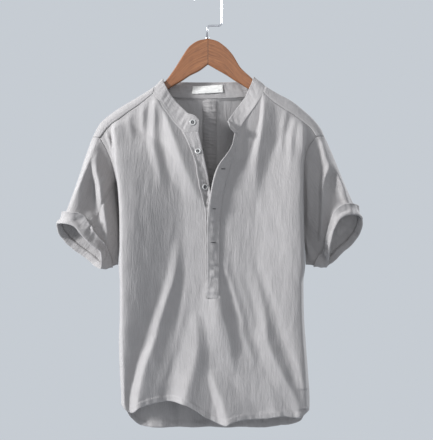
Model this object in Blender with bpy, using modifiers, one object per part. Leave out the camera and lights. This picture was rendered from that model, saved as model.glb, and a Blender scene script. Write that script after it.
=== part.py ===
"""A short-sleeved linen popover shirt with a band collar, hanging on a wooden hanger.

Sizes are in millimetres, and MM turns them into metres. X runs to the right as the front is
seen, the front faces -Y, and Z is up. The origin is the underside of the hook's top bar, at
the middle of the hanger, where a rail carries it. "Left" and "right" are as the front is seen.
"""
import math
from bisect import bisect_right
from collections import namedtuple

import bpy
import bmesh
from mathutils import Vector

MM = 0.001

# ---------------------------------------------------------------- driving dimensions
CLOTH = 1.6                 # wall of the one-layer panels
DOUBLED = 2.2               # wall of the doubled pieces: band, placket strips and cuffs
SEAM = 0.3                  # space left between pieces that are sewn together
SIDE_EDGE = 0.55            # the side seams' edges stand this far off the hanger's plane
RIDGE_ROUND = 14.0          # radius of the fold over the hanger's arm
FRONT_DEPTH = 60.0          # how far the front hangs in front of the hanger's plane
BACK_DEPTH = 50.0           # how far the back hangs behind it
PLAN_ROUND = 2.5            # squareness of the body seen from above
UNDERARM_Z = -578.0         # where the sleeves join the side seams
SHOULDER_TIP_Z = -311.0     # where the armhole crosses the shoulder
PLACKET_END_Z = -645.0      # lower end of the slit and its strips
CUFF_DEEP = 27.0            # depth of the turned-up cuffs
BUTTON_WIDE = 12.5
BUTTON_THICK = 2.2
HOOK_WIRE = 4.0
WOOD_THICK = 12.0
WOOD_EDGE = 2.5             # rounding of the wood's edges

# ---------------------------------------------------------------- mesh density
SHOULDER_COLUMNS = 8
NECK_COLUMNS = 8
BACK_NECK_COLUMNS = 12
WRAP_ROWS = 3               # rows on each side of the shoulder's ridge
PLACKET_ROWS = 19
SKIRT_ROWS = 13             # rows below the placket
BACK_ROWS = 28
STRIP_COLUMNS = 3
SLEEVE_ROWS = 9
BAND_ROWS = 3

# ---------------------------------------------------------------- tables
# Shoulder: the ridge over the hanger and the stitched seam in front of it, tip to neck.
Shoulder = namedtuple("Shoulder", "ridge_x ridge_z seam_x seam_z")
SHOULDERS = {
    "left": [
        Shoulder(-241.5, -311.0, -225.0, -313.0),
        Shoulder(-227.0, -283.5, -207.5, -291.5),
        Shoulder(-204.0, -263.0, -185.0, -274.5),
        Shoulder(-183.0, -248.5, -161.0, -257.0),
        Shoulder(-156.0, -232.5, -140.0, -242.5),
        Shoulder(-133.0, -218.5, -122.0, -227.5),
        Shoulder(-112.0, -205.0, -114.0, -220.0),
    ],
    "right": [
        Shoulder(244.0, -310.0, 226.0, -311.0),
        Shoulder(238.0, -296.0, 213.0, -292.0),
        Shoulder(222.0, -275.0, 199.0, -281.0),
        Shoulder(202.0, -256.5, 177.0, -264.5),
        Shoulder(173.0, -234.0, 157.0, -252.0),
        Shoulder(146.0, -219.5, 134.0, -236.0),
        Shoulder(120.0, -204.0, 116.0, -219.0),
    ],
}

# Side lines: armhole edges down to the underarm, then the side seams, which front and back share.
Side = namedtuple("Side", "z front_left front_right back_left back_right")
SIDES = [
    Side(-311.0, -225.0, 226.0, -225.0, 226.0),
    Side(-338.0, -210.0, 207.0, -220.0, 220.0),
    Side(-370.0, -198.5, 201.5, -209.0, 211.0),
    Side(-422.0, -188.5, 200.0, -196.0, 205.0),
    Side(-480.0, -185.0, 200.5, -190.0, 204.0),
    Side(-540.0, -184.5, 202.0, -187.0, 203.5),
    Side(-578.0, -186.5, 203.0, -186.5, 203.0),
    Side(-615.0, -184.0, 199.5, -184.0, 199.5),
    Side(-680.0, -184.0, 200.5, -184.0, 200.5),
    Side(-735.0, -186.0, 204.0, -186.0, 204.0),
    Side(-800.0, -184.0, 209.0, -184.0, 209.0),
    Side(-860.0, -181.0, 212.5, -181.0, 212.5),
    Side(-900.0, -181.0, 210.0, -181.0, 210.0),
]

# Neckline in the front, from the shoulder seam to the slit, and the slit's stitched edges.
Place = namedtuple("Place", "x z")
NECKLINES = {
    "left": [Place(-114.0, -220.0), Place(-92.0, -252.0), Place(-71.5, -280.0), Place(-50.0, -303.0)],
    "right": [Place(116.0, -219.0), Place(98.5, -248.0), Place(80.5, -272.0), Place(60.0, -306.0)],
}
Slit = namedtuple("Slit", "z left right left_free right_free right_turned")
SLITS = [
    Slit(-303.0, -50.0, 60.5, -19.0, 51.5, 17.0),
    Slit(-341.0, -32.0, 53.0, -10.0, 45.5, 16.0),
    Slit(-362.0, -23.5, 43.0, -5.0, 29.5, 12.0),
    Slit(-386.0, -20.0, 34.5, 0.0, 17.5, 6.0),
    Slit(-417.0, -15.0, 30.0, 4.0, 7.5, 1.0),
    Slit(-444.0, -8.0, 28.0, 9.0, 3.0, -2.0),
    Slit(-470.0, -3.5, 24.5, 16.5, 0.0, -4.0),
    Slit(-500.0, -2.6, 23.0, 22.0, -2.0, -4.5),
    Slit(-645.0, -2.6, 22.0, 21.6, -2.2, -2.6),
]
LEFT_STRIP_SINKS = 7.6      # how far the button strip drops behind the buttonhole strip

# Hems: how low the front and the back reach across the body.
Hem = namedtuple("Hem", "x z")
FRONT_HEM = [
    Hem(-182.0, -866.0), Hem(-158.0, -883.0), Hem(-139.0, -870.0), Hem(-108.0, -861.0),
    Hem(-78.0, -858.0), Hem(-47.0, -864.0), Hem(-26.0, -875.0), Hem(-6.0, -890.0),
    Hem(15.0, -901.0), Hem(35.0, -907.0), Hem(50.0, -900.0), Hem(76.0, -895.0),
    Hem(117.0, -894.0), Hem(157.0, -889.0), Hem(185.0, -893.0), Hem(212.0, -878.0),
]
BACK_HEM = [
    Hem(-182.0, -866.0), Hem(-165.0, -904.0), Hem(-142.0, -925.0), Hem(-103.0, -929.0),
    Hem(47.0, -930.0), Hem(111.0, -929.0), Hem(165.0, -924.0), Hem(197.0, -911.0),
    Hem(212.0, -878.0),
]

# Folds: ridges stand out from the cloth, troughs (a height below 0) sink in. Each runs along
# its places (x, z), is as wide as its two sides together, and fades out at both ends.
Fold = namedtuple("Fold", "name height width places")
FRONT_FOLDS = [
    Fold("left side swell", 15, 34, [(-168, -320), (-166, -500), (-164, -700), (-158, -900)]),
    Fold("left hollow", -15, 48, [(-82, -330), (-78, -520), (-96, -700), (-112, -860)]),
    Fold("centre swell", 7, 40, [(-10, -400), (6, -560), (12, -720), (8, -850)]),
    Fold("right hollow", -10, 46, [(104, -330), (96, -520), (92, -700), (88, -860)]),
    Fold("right side swell", 13, 30, [(182, -340), (186, -520), (190, -700), (196, -880)]),
    Fold("neck to chest, outer", 6, 17, [(-112, -232), (-117, -290), (-118, -321), (-105, -368), (-97, -420)]),
    Fold("neck to chest, inner", 8, 17, [(-96, -250), (-90, -280), (-77, -335), (-55, -378), (-31, -434), (-24, -470)]),
    Fold("left armhole", 4, 14, [(-204, -320), (-189, -390), (-180, -440)]),
    Fold("left shoulder", 3, 14, [(-155, -262), (-152, -310)]),
    Fold("right neck", 7, 17, [(117, -230), (112, -260), (107, -308), (95, -348), (79, -390)]),
    Fold("right shoulder, inner", 4, 15, [(148, -252), (142, -308), (131, -384)]),
    Fold("right shoulder, outer", 4, 15, [(183, -276), (172, -330), (166, -390)]),
    Fold("beside the slit", 6, 15, [(51, -362), (39, -422), (33, -476)]),
    Fold("right chest", 5, 18, [(101, -335), (76, -393), (66, -444), (62, -540)]),
    Fold("right of the placket", -5, 17, [(37, -432), (37, -500), (42, -590)]),
    Fold("fan 1", 15, 24, [(-62, -520), (-67, -614), (-88, -668), (-109, -728), (-127, -788), (-142, -850)]),
    Fold("between 1 and 2", -10, 22, [(-46, -590), (-58, -680), (-78, -760), (-92, -840)]),
    Fold("fan 2", 10, 20, [(-22, -660), (-26, -752), (-40, -830), (-49, -890)]),
    Fold("between 2 and 5", -8, 20, [(0, -680), (-6, -760), (-14, -860)]),
    Fold("fan 5", 8, 17, [(17, -800), (28, -850), (43, -925)]),
    Fold("fan 6", 9, 20, [(18, -640), (40, -712), (48, -757), (64, -830)]),
    Fold("between 6 and 8", -8, 19, [(56, -610), (80, -700), (106, -790)]),
    Fold("fan 8", 12, 21, [(76, -620), (108, -728), (133, -788), (164, -858), (192, -925)]),
    Fold("fan 9", 11, 20, [(92, -540), (112, -608), (142, -661), (168, -737), (184, -803), (198, -880)]),
    Fold("right hem hollow", -10, 26, [(66, -830), (62, -930)]),
    Fold("left hem corner", 5, 16, [(-160, -850), (-158, -900)]),
]
BACK_FOLDS = [
    Fold("pleat, left edge", 4, 9, [(-12, -232), (-13, -400), (-15, -560)]),
    Fold("pleat, middle", -6, 12, [(4, -236), (4, -400), (3, -600)]),
    Fold("pleat, right edge", 4, 9, [(20, -232), (20, -400), (22, -560)]),
    Fold("left shoulder blade", 6, 26, [(-140, -280), (-128, -420), (-110, -560)]),
    Fold("right shoulder blade", 6, 24, [(150, -285), (138, -430), (118, -580)]),
    Fold("left hollow", -9, 40, [(-70, -330), (-66, -560), (-82, -780)]),
    Fold("right hollow", -8, 38, [(82, -340), (76, -600), (92, -800)]),
    Fold("left skirt, outer", 9, 22, [(-128, -600), (-140, -760), (-146, -950)]),
    Fold("left skirt, inner", 7, 18, [(-46, -560), (-52, -740), (-64, -950)]),
    Fold("middle skirt", 8, 22, [(10, -620), (6, -780), (2, -950)]),
    Fold("right skirt, inner", 8, 18, [(58, -600), (64, -760), (70, -950)]),
    Fold("right skirt, outer", 10, 22, [(132, -560), (146, -740), (158, -950)]),
    Fold("left armhole", 5, 12, [(-196, -360), (-172, -460), (-166, -600)]),
    Fold("right armhole", 5, 12, [(206, -350), (186, -450), (182, -590)]),
]

# Band collar: how its upper edge stands off the neckline, at stations round the neck.
# 0 left end, 1 left slit, 2 left shoulder seam, 3 left ridge, 4 behind it, 5 centre back,
# 6 behind the right ridge, 7 right ridge, 8 right shoulder seam, 9 right slit, 10 right end.
Rise = namedtuple("Rise", "station x y z")
BAND_RISE = [
    Rise(0.0, 1.5, 1.0, 23.0),
    Rise(0.4, 5.0, 2.0, 33.0),
    Rise(1.0, 10.0, 4.0, 37.0),
    Rise(1.5, 10.0, 8.0, 33.0),
    Rise(2.0, 19.0, 4.0, 24.0),
    Rise(3.0, 17.0, 0.0, 16.0),
    Rise(4.0, 18.0, 0.0, 25.0),
    Rise(4.4, 6.0, 4.0, 31.0),
    Rise(5.0, 0.0, 3.0, 33.0),
    Rise(5.6, -6.0, 4.0, 31.0),
    Rise(6.0, -20.0, 0.0, 26.0),
    Rise(7.0, -23.0, 0.0, 19.0),
    Rise(8.0, -22.0, 6.0, 24.0),
    Rise(8.5, -17.0, 17.0, 22.0),
    Rise(9.0, -18.0, 17.0, 22.0),
    Rise(9.6, -14.0, 13.0, 19.0),
    Rise(10.0, -8.0, 8.0, 12.0),
]

# Sleeves: the upper and lower ends of each opening's long axis, its half width across, and
# how far it turns to the front.
Opening = namedtuple("Opening", "upper lower half_wide turned")
OPENINGS = {
    "left": Opening((-313.0, -2.0, -503.0), (-226.0, 6.0, -579.0), 39.0, 33.0),
    "right": Opening((318.0, -2.0, -484.0), (247.0, 6.0, -573.0), 41.0, 35.0),
}
# Sleeve folds: turn is 0 at the top, 90 at the front, 180 under the arm and 270 behind.
SleeveFold = namedtuple("SleeveFold", "side height turn wide start end")
SLEEVE_FOLDS = [
    SleeveFold("left", 4.0, 60, 14, 0.05, 0.8),
    SleeveFold("left", 4.0, 112, 12, 0.0, 0.7),
    SleeveFold("left", -3.0, 86, 12, 0.1, 0.9),
    SleeveFold("left", 5.0, 250, 18, 0.0, 0.9),
    SleeveFold("left", -4.0, 290, 16, 0.1, 0.8),
    SleeveFold("right", 6.0, 50, 12, 0.05, 0.75),
    SleeveFold("right", -5.0, 70, 12, 0.1, 0.9),
    SleeveFold("right", 6.0, 92, 11, 0.2, 1.0),
    SleeveFold("right", -4.0, 120, 14, 0.0, 0.8),
    SleeveFold("right", 5.0, 246, 18, 0.0, 0.9),
    SleeveFold("right", -4.0, 286, 16, 0.1, 0.8),
]

# Buttons down the placket, on the button strip.
Button = namedtuple("Button", "name x z")
BUTTONS = [
    Button("button_1", -20.5, -343.5),
    Button("button_2", -6.0, -417.0),
    Button("button_3", 8.5, -493.0),
    Button("button_4", 9.5, -567.0),
]
COLLAR_BUTTON_AT = (0.48, 0.55)     # station and share of the band's height

# Wooden arms, from the joint in the middle to the shoulder end: the upper and lower edges.
Arm = namedtuple("Arm", "x top bottom")
ARMS = {
    "left": [
        Arm(0.0, -104.5, -158.5), Arm(-18.0, -108.0, -172.0), Arm(-38.0, -120.0, -182.0),
        Arm(-53.0, -140.5, -192.0), Arm(-70.0, -167.5, -202.0), Arm(-92.0, -196.5, -215.5),
        Arm(-112.0, -211.5, -229.5), Arm(-133.0, -223.5, -244.0), Arm(-156.0, -237.5, -260.0),
        Arm(-183.0, -253.5, -279.0), Arm(-200.0, -266.0, -289.0), Arm(-209.0, -275.5, -287.0),
    ],
    "right": [
        Arm(0.0, -104.5, -158.5), Arm(18.0, -109.0, -169.0), Arm(36.0, -121.0, -179.0),
        Arm(52.0, -138.5, -189.5), Arm(68.0, -164.5, -199.5), Arm(90.0, -185.5, -213.0),
        Arm(112.0, -206.5, -229.5), Arm(134.0, -218.5, -244.0), Arm(158.0, -231.5, -260.0),
        Arm(186.0, -249.5, -279.0), Arm(203.0, -263.5, -289.0), Arm(212.0, -273.0, -286.0),
    ],
}
# Hook: corners of its bent wire, from the hanger's top to the tip.
HOOK_CORNERS = [(-2.0, -104.0), (-2.0, -77.5), (28.5, -76.5), (28.5, 2.0), (-28.5, 2.0), (-28.5, -24.0)]
HOOK_BEND = 7.0

# Inside the back: the pleat's pressed strip and the blank label.
PLEAT_STRIP = {"left": -11.0, "middle": 4.0, "right": 17.5, "top": -233.0, "bottom": -470.0, "rows": 12}
LABEL = {"left": 4.72, "right": 5.28, "low": 0.30, "high": 0.86, "columns": 6}


# ---------------------------------------------------------------- reading the tables
def ease(share):
    """0 below 0, 1 above 1, and a soft step between."""
    share = min(1.0, max(0.0, share))
    return share * share * (3.0 - 2.0 * share)


def between(knots, values, at):
    """The value at a place between rising knots, on a smooth curve that never overshoots."""
    if at <= knots[0]:
        return values[0]
    if at >= knots[-1]:
        return values[-1]
    slopes = [(b - a) / (k1 - k0) for a, b, k0, k1 in zip(values, values[1:], knots, knots[1:])]
    here = bisect_right(knots, at) - 1

    def tangent(knot):
        if knot == 0:
            return slopes[0]
        if knot == len(knots) - 1:
            return slopes[-1]
        before, after = slopes[knot - 1], slopes[knot]
        if before * after <= 0.0:
            return 0.0
        return 2.0 * before * after / (before + after)

    span = knots[here + 1] - knots[here]
    share = (at - knots[here]) / span
    square = share * share
    cube = square * share
    return (
        (2 * cube - 3 * square + 1) * values[here]
        + (cube - 2 * square + share) * span * tangent(here)
        + (3 * square - 2 * cube) * values[here + 1]
        + (cube - square) * span * tangent(here + 1)
    )


def read(rows, key, column, at):
    """Read a table's column where its key column has the value at."""
    ordered = sorted(rows, key=lambda row: getattr(row, key))
    return between([getattr(row, key) for row in ordered], [getattr(row, column) for row in ordered], at)


def spread(points, count):
    """Points at equal steps along a smooth line through the given points."""
    points = [Vector(point) for point in points]
    lengths = [0.0]
    for before, after in zip(points, points[1:]):
        lengths.append(lengths[-1] + (after - before).length)
    result = []
    for step in range(count + 1):
        at = lengths[-1] * step / count
        result.append(Vector([between(lengths, [p[axis] for p in points], at) for axis in range(len(points[0]))]))
    return result


# ---------------------------------------------------------------- the body's surface
def neck_arch():
    """The ridge's line carried on across the neck opening, as if the shoulders met."""
    return [(SHOULDERS["left"][-1].ridge_x, SHOULDERS["left"][-1].ridge_z), (0.0, -148.0),
            (SHOULDERS["right"][-1].ridge_x, SHOULDERS["right"][-1].ridge_z)]


RIDGE_LINE = (
    [(row.ridge_x, row.ridge_z) for row in SHOULDERS["left"][:-1]]
    + neck_arch()
    + [(row.ridge_x, row.ridge_z) for row in reversed(SHOULDERS["right"][:-1])]
)


def below_ridge(x, z):
    """How far a place hangs below the shoulders' ridge."""
    top = between([point[0] for point in RIDGE_LINE], [point[1] for point in RIDGE_LINE], x)
    return max(0.0, top - z)


def hang_depth(drop, full, reach):
    """Distance from the hanger's plane: round over the ridge, then opening out as it hangs."""
    if drop < RIDGE_ROUND:
        return math.sqrt(RIDGE_ROUND ** 2 - (RIDGE_ROUND - drop) ** 2)
    share = min(1.0, (drop - RIDGE_ROUND) / reach)
    return RIDGE_ROUND + (full - RIDGE_ROUND) * (1.0 - (1.0 - share) ** 1.8)


def across(x, z, face):
    """Place across the body: -1 at the left side line and 1 at the right one."""
    left = read(SIDES, "z", face + "_left", z)
    right = read(SIDES, "z", face + "_right", z)
    return (2.0 * x - left - right) / (right - left)


def plan_share(x, z, face):
    """Share of the depth at a place across the body: an oval that the armholes cut short."""
    open_share = min(1.0, max(0.0, (z - UNDERARM_Z) / (SHOULDER_TIP_Z - UNDERARM_Z)))
    edge = (1.0 - (1.0 - open_share) ** PLAN_ROUND) ** (1.0 / PLAN_ROUND)
    cut = (1.0 - edge ** PLAN_ROUND) ** (1.0 / PLAN_ROUND)
    place = min(1.0, abs(across(x, z, face)) * cut)
    return (1.0 - place ** PLAN_ROUND) ** (1.0 / PLAN_ROUND)


def fold_height(folds, x, z):
    """Sum of the folds at a place."""
    total = 0.0
    here = Vector((x, z))
    for fold in folds:
        places = [Vector(place) for place in fold.places]
        whole = sum((b - a).length for a, b in zip(places, places[1:]))
        nearest = None
        run = 0.0
        for start, end in zip(places, places[1:]):
            leg = end - start
            share = min(1.0, max(0.0, (here - start).dot(leg) / leg.length_squared))
            away = (start + leg * share - here).length
            if nearest is None or away < nearest[0]:
                nearest = (away, (run + leg.length * share) / whole)
            run += leg.length
        away, along = nearest
        if away < 2.5 * fold.width:
            fade = ease(along / 0.22) * ease((1.0 - along) / 0.22)
            total += fold.height * fade * math.exp(-(away / (0.62 * fold.width)) ** 2)
    return total


def fold_fade(x, z, face):
    """Folds die out at the shoulder seams, the armholes and the side seams."""
    return ease((below_ridge(x, z) - 18.0) / 34.0) * ease((1.0 - abs(across(x, z, face))) / 0.14)


def front_y(x, z):
    depth = hang_depth(below_ridge(x, z), FRONT_DEPTH, 260.0) * plan_share(x, z, "front")
    return -max(SIDE_EDGE, depth + fold_height(FRONT_FOLDS, x, z) * fold_fade(x, z, "front"))


def back_y(x, z):
    depth = hang_depth(below_ridge(x, z), BACK_DEPTH, 200.0) * plan_share(x, z, "back")
    return max(SIDE_EDGE, depth + fold_height(BACK_FOLDS, x, z) * fold_fade(x, z, "back"))


def column_share(column, columns):
    """Share of the way in from a side line: closer together near the side."""
    even = column / columns
    return 0.6 * even + 0.4 * (1.0 - math.cos(0.5 * math.pi * even))


# ---------------------------------------------------------------- front panel
def front_top(side):
    """Upper edge of half of the front: along the shoulder seam, then down the neckline."""
    seam = spread([(row.seam_x, row.seam_z) for row in SHOULDERS[side]], SHOULDER_COLUMNS)
    neck = spread([(place.x, place.z) for place in NECKLINES[side]], NECK_COLUMNS)
    return seam + neck[1:]


def slit_x(side, z):
    return read(SLITS, "z", side, z)


def front_column(side, column, top):
    """Points of one column of the front, from its upper edge to the hem."""
    share = column_share(column, SHOULDER_COLUMNS + NECK_COLUMNS)

    def lined_x(z):
        side_x = read(SIDES, "z", "front_" + side, z)
        return side_x + (slit_x(side, z) - side_x) * share

    shift = top[0] - lined_x(top[1])
    top_z = top[1] - (SEAM if column <= SHOULDER_COLUMNS else 0.0)
    hem_z = read(FRONT_HEM, "x", "z", lined_x(-880.0))
    levels = [top_z + (PLACKET_END_Z - top_z) * row / PLACKET_ROWS for row in range(PLACKET_ROWS + 1)]
    levels += [PLACKET_END_Z + (hem_z - PLACKET_END_Z) * row / SKIRT_ROWS for row in range(1, SKIRT_ROWS + 1)]
    points = []
    for z in levels:
        x = lined_x(z) + shift * (1.0 - ease((top[1] - z) / 230.0))
        points.append(Vector((x, front_y(x, z), z)))
    return points


def front_halves():
    return {
        side: [front_column(side, column, top) for column, top in enumerate(front_top(side))]
        for side in ("left", "right")
    }


# ---------------------------------------------------------------- back panel
def shoulder_wrap(ridge, seam):
    """A column's points over the shoulder: the seam in front, the ridge, and as far behind."""
    seam_depth = hang_depth(below_ridge(*seam), FRONT_DEPTH, 260.0)
    points = []
    for row in range(-WRAP_ROWS, WRAP_ROWS + 1):
        angle = 0.5 * math.pi * abs(row) / WRAP_ROWS
        place = ridge + (seam - ridge) * (1.0 - math.cos(angle))
        depth = seam_depth * math.sin(angle)
        points.append(Vector((place[0], math.copysign(depth, row), place[1])))
    return points


def back_columns():
    """Columns of the back from left to right. Those under the neck start behind the ridge."""
    tops = []
    for side in ("left", "right"):
        ridge = spread([(row.ridge_x, row.ridge_z) for row in SHOULDERS[side]], SHOULDER_COLUMNS)
        seam = spread([(row.seam_x, row.seam_z) for row in SHOULDERS[side]], SHOULDER_COLUMNS)
        wraps = [shoulder_wrap(r, s) for r, s in zip(ridge, seam)]
        tops.append(wraps if side == "left" else wraps[::-1])
    left_neck, right_neck = tops[0][-1][-1], tops[1][0][-1]
    neck = []
    for column in range(1, BACK_NECK_COLUMNS):
        share = column / BACK_NECK_COLUMNS
        x = left_neck.x + (right_neck.x - left_neck.x) * share
        z = left_neck.z + (right_neck.z - left_neck.z) * share - 9.0 * math.sin(math.pi * share) ** 0.7
        neck.append([Vector((x, 0.0, z))])
    columns = []
    all_tops = tops[0] + neck + tops[1]
    middle = len(all_tops) // 2
    for number, top in enumerate(all_tops):
        side = "left" if number <= middle else "right"
        place = number if side == "left" else len(all_tops) - 1 - number
        share = 0.5 * column_share(place, middle)
        start = top[-1]

        def lined_x(z):
            left = read(SIDES, "z", "back_left", z)
            right = read(SIDES, "z", "back_right", z)
            reach = (right - left) * share
            return left + reach if side == "left" else right - reach

        shift = start.x - lined_x(start.z)
        hem_z = read(BACK_HEM, "x", "z", lined_x(-880.0))
        points = list(top[:-1])
        for row in range(BACK_ROWS + 1):
            z = start.z + (hem_z - start.z) * row / BACK_ROWS
            x = lined_x(z) + shift * (1.0 - ease((start.z - z) / 230.0))
            points.append(Vector((x, back_y(x, z), z)))
        if len(top) > 1:
            points[len(top) - 1] = start
        columns.append(points)
    return columns


# ---------------------------------------------------------------- meshes and objects
def material(name, colour, roughness, metallic=0.0):
    made = bpy.data.materials.new(name)
    made.use_nodes = True
    shader = made.node_tree.nodes["Principled BSDF"]
    shader.inputs["Base Color"].default_value = (*colour, 1.0)
    shader.inputs["Roughness"].default_value = roughness
    shader.inputs["Metallic"].default_value = metallic
    return made


def add_object(name, data, finish):
    """Put an object in the shirt's collection, with its material."""
    made = bpy.data.objects.new(name, data)
    data.materials.append(finish)
    bpy.data.collections["linen_shirt_on_hanger"].objects.link(made)
    return made


def add_wall(name, grids, thickness, finish, closed=False):
    """A cloth wall through grids of columns of points; grids that share points are joined."""
    mesh = bmesh.new()
    for grid in grids:
        rings = [[mesh.verts.new(point * MM) for point in column] for column in grid]
        if closed:
            rings.append(rings[0])
        for before, after in zip(rings, rings[1:]):
            longer = len(before) - len(after)
            first = before[max(0, longer):]
            second = after[max(0, -longer):]
            for row in range(len(first) - 1):
                mesh.faces.new((first[row], first[row + 1], second[row + 1], second[row]))
    bmesh.ops.remove_doubles(mesh, verts=mesh.verts, dist=0.00001)
    bmesh.ops.recalc_face_normals(mesh, faces=mesh.faces)
    data = bpy.data.meshes.new(name)
    mesh.to_mesh(data)
    mesh.free()
    made = add_object(name, data, finish)
    data.shade_smooth()
    solidify = made.modifiers.new("wall", "SOLIDIFY")
    solidify.thickness = thickness * MM
    solidify.offset = 0.0
    return made


def normals_of(columns, closed=False):
    """Unit normals of a grid of points, pointing to the left of its columns' direction."""
    result = []
    count = len(columns)
    for c, column in enumerate(columns):
        before = columns[(c - 1) % count] if closed or c > 0 else column
        after = columns[(c + 1) % count] if closed or c < count - 1 else column
        normals = []
        for r in range(len(column)):
            down = column[min(r + 1, len(column) - 1)] - column[max(r - 1, 0)]
            normals.append((after[r] - before[r]).cross(down).normalized())
        result.append(normals)
    return result


# ---------------------------------------------------------------- front and back
def make_front(finish):
    halves = front_halves()
    left, right = halves["left"][-1], halves["right"][-1]
    middle = [
        (a + b) * 0.5 for a, b in zip(left[PLACKET_ROWS:], right[PLACKET_ROWS:])
    ]
    for point in middle:
        point.y = front_y(point.x, point.z)
    bridge = [left[PLACKET_ROWS:], middle, right[PLACKET_ROWS:]]
    add_wall("front", [halves["left"], halves["right"], bridge], CLOTH, finish)
    return halves


def make_back(finish):
    columns = back_columns()
    add_wall("back", [columns], CLOTH, finish)
    return columns


def make_pleat_strip(finish):
    strip = PLEAT_STRIP
    columns = []
    for column in range(STRIP_COLUMNS + 1):
        x = strip["left"] + (strip["right"] - strip["left"]) * column / STRIP_COLUMNS
        points = []
        for row in range(strip["rows"] + 1):
            z = strip["top"] + (strip["bottom"] - strip["top"]) * row / strip["rows"]
            points.append(Vector((x, back_y(strip["middle"], z) - CLOTH - 2.0 * SEAM, z)))
        columns.append(points)
    add_wall("back_strip", [columns], CLOTH - SEAM, finish)


# ---------------------------------------------------------------- placket strips
def placket_y(side, x, z):
    """The strips lie on the front's surface; in the overlap the button strip sinks behind."""
    stitched = slit_x(side, z)
    free = read(SLITS, "z", side + "_free", z)
    share = (x - stitched) / (free - stitched)
    surface = front_y(x, z)
    if side == "left":
        lapped = ease((-400.0 - z) / 70.0)
        return surface + LEFT_STRIP_SINKS * share * lapped + 3.0 * share * (1.0 - lapped)
    return surface + read(SLITS, "z", "right_turned", z) * share


def placket_columns(side, edge):
    """Columns of a strip, from the stitched edge of the front to its free edge."""
    inward = 1.0 if side == "left" else -1.0
    columns = []
    for column in range(STRIP_COLUMNS + 1):
        points = []
        for row, stitched in enumerate(edge[:PLACKET_ROWS + 1]):
            free = read(SLITS, "z", side + "_free", stitched.z)
            start = stitched.x + inward * SEAM * 1.5
            x = start + (free - start) * column / STRIP_COLUMNS
            z = stitched.z + (1.2 if row == PLACKET_ROWS else 0.0)
            points.append(Vector((x, placket_y(side, x, z), z)))
        columns.append(points)
    return columns


def make_plackets(halves, finish):
    strips = {}
    for side in ("left", "right"):
        strips[side] = placket_columns(side, halves[side][-1])
        add_wall("placket_" + side, [strips[side]], DOUBLED, finish)
    return strips


# ---------------------------------------------------------------- band collar
def neck_edge(halves, back, strips):
    """The edges that the band is sewn to, all round, each with its station."""
    edge = []

    def add(points, start, end):
        for number, point in enumerate(points):
            edge.append((start + (end - start) * number / (len(points) - 1), point))

    shoulder = SHOULDER_COLUMNS
    left_front = [column[0] for column in halves["left"][shoulder:]]
    right_front = [column[0] for column in halves["right"][shoulder:]]
    left_wrap = back[shoulder][:2 * WRAP_ROWS + 1]
    right_wrap = back[len(back) - 1 - shoulder][:2 * WRAP_ROWS + 1]
    neck = [column[0] for column in back[shoulder + 1:len(back) - 1 - shoulder]]
    neck = [left_wrap[-1]] + neck + [right_wrap[-1]]
    add([column[0] for column in reversed(strips["left"])], 0.0, 1.0)
    add(left_front[-2:0:-1], 1.1, 1.9)
    add(left_wrap, 2.0, 4.0)
    add(neck[1:-1], 4.2, 5.8)
    add(right_wrap[::-1], 6.0, 8.0)
    add(right_front[1:-1], 8.1, 8.9)
    add([column[0] for column in strips["right"]], 9.0, 10.0)
    return edge


def band_rise(station):
    return Vector([read(BAND_RISE, "station", axis, station) for axis in ("x", "y", "z")])


def band_columns(edge):
    """Columns of the band, from the neck seam up, a seam's space off the panels."""
    columns = []
    for station, point in edge:
        rise = band_rise(station)
        lift = rise.normalized() * (SEAM + 1.3)
        columns.append([point + lift + rise * row / BAND_ROWS for row in range(BAND_ROWS + 1)])
    return columns


def band_point(edge, station, share):
    """A place on the band's middle surface and its outward normal."""
    stations = [row[0] for row in edge]

    def at(place):
        return Vector([between(stations, [row[1][axis] for row in edge], place) for axis in range(3)])

    rise = band_rise(station)
    along = at(station + 0.05) - at(station - 0.05)
    return at(station) + rise * share, along.cross(rise).normalized()


def make_label(edge, finish):
    columns = []
    for column in range(LABEL["columns"] + 1):
        station = LABEL["left"] + (LABEL["right"] - LABEL["left"]) * column / LABEL["columns"]
        points = []
        for share in (LABEL["low"], LABEL["high"]):
            place, normal = band_point(edge, station, share)
            inward = normal if normal.y < 0.0 else -normal
            points.append(place + inward * (0.5 * DOUBLED + SEAM + 0.9))
        columns.append(points)
    add_wall("label", [columns], 1.0, finish)


# ---------------------------------------------------------------- sleeves and cuffs
def armhole_loop(side, halves, back):
    """Points round an armhole: ridge, down the front, underarm, up the back."""
    column = back[0] if side == "left" else back[-1]
    front = [point for point in halves[side][0] if point.z > UNDERARM_Z + 6.0]
    behind = [point for point in column[2 * WRAP_ROWS + 1:] if point.z > UNDERARM_Z + 6.0]
    side_x = read(SIDES, "z", "front_" + side, UNDERARM_Z)
    under = Vector((side_x, 0.0, UNDERARM_Z))
    wrap_front = column[WRAP_ROWS:0:-1]
    wrap_back = column[WRAP_ROWS + 1:2 * WRAP_ROWS + 1]
    loop = wrap_front + front + [under] + behind[::-1] + wrap_back[::-1]
    return loop, len(wrap_front) + len(front)


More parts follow.
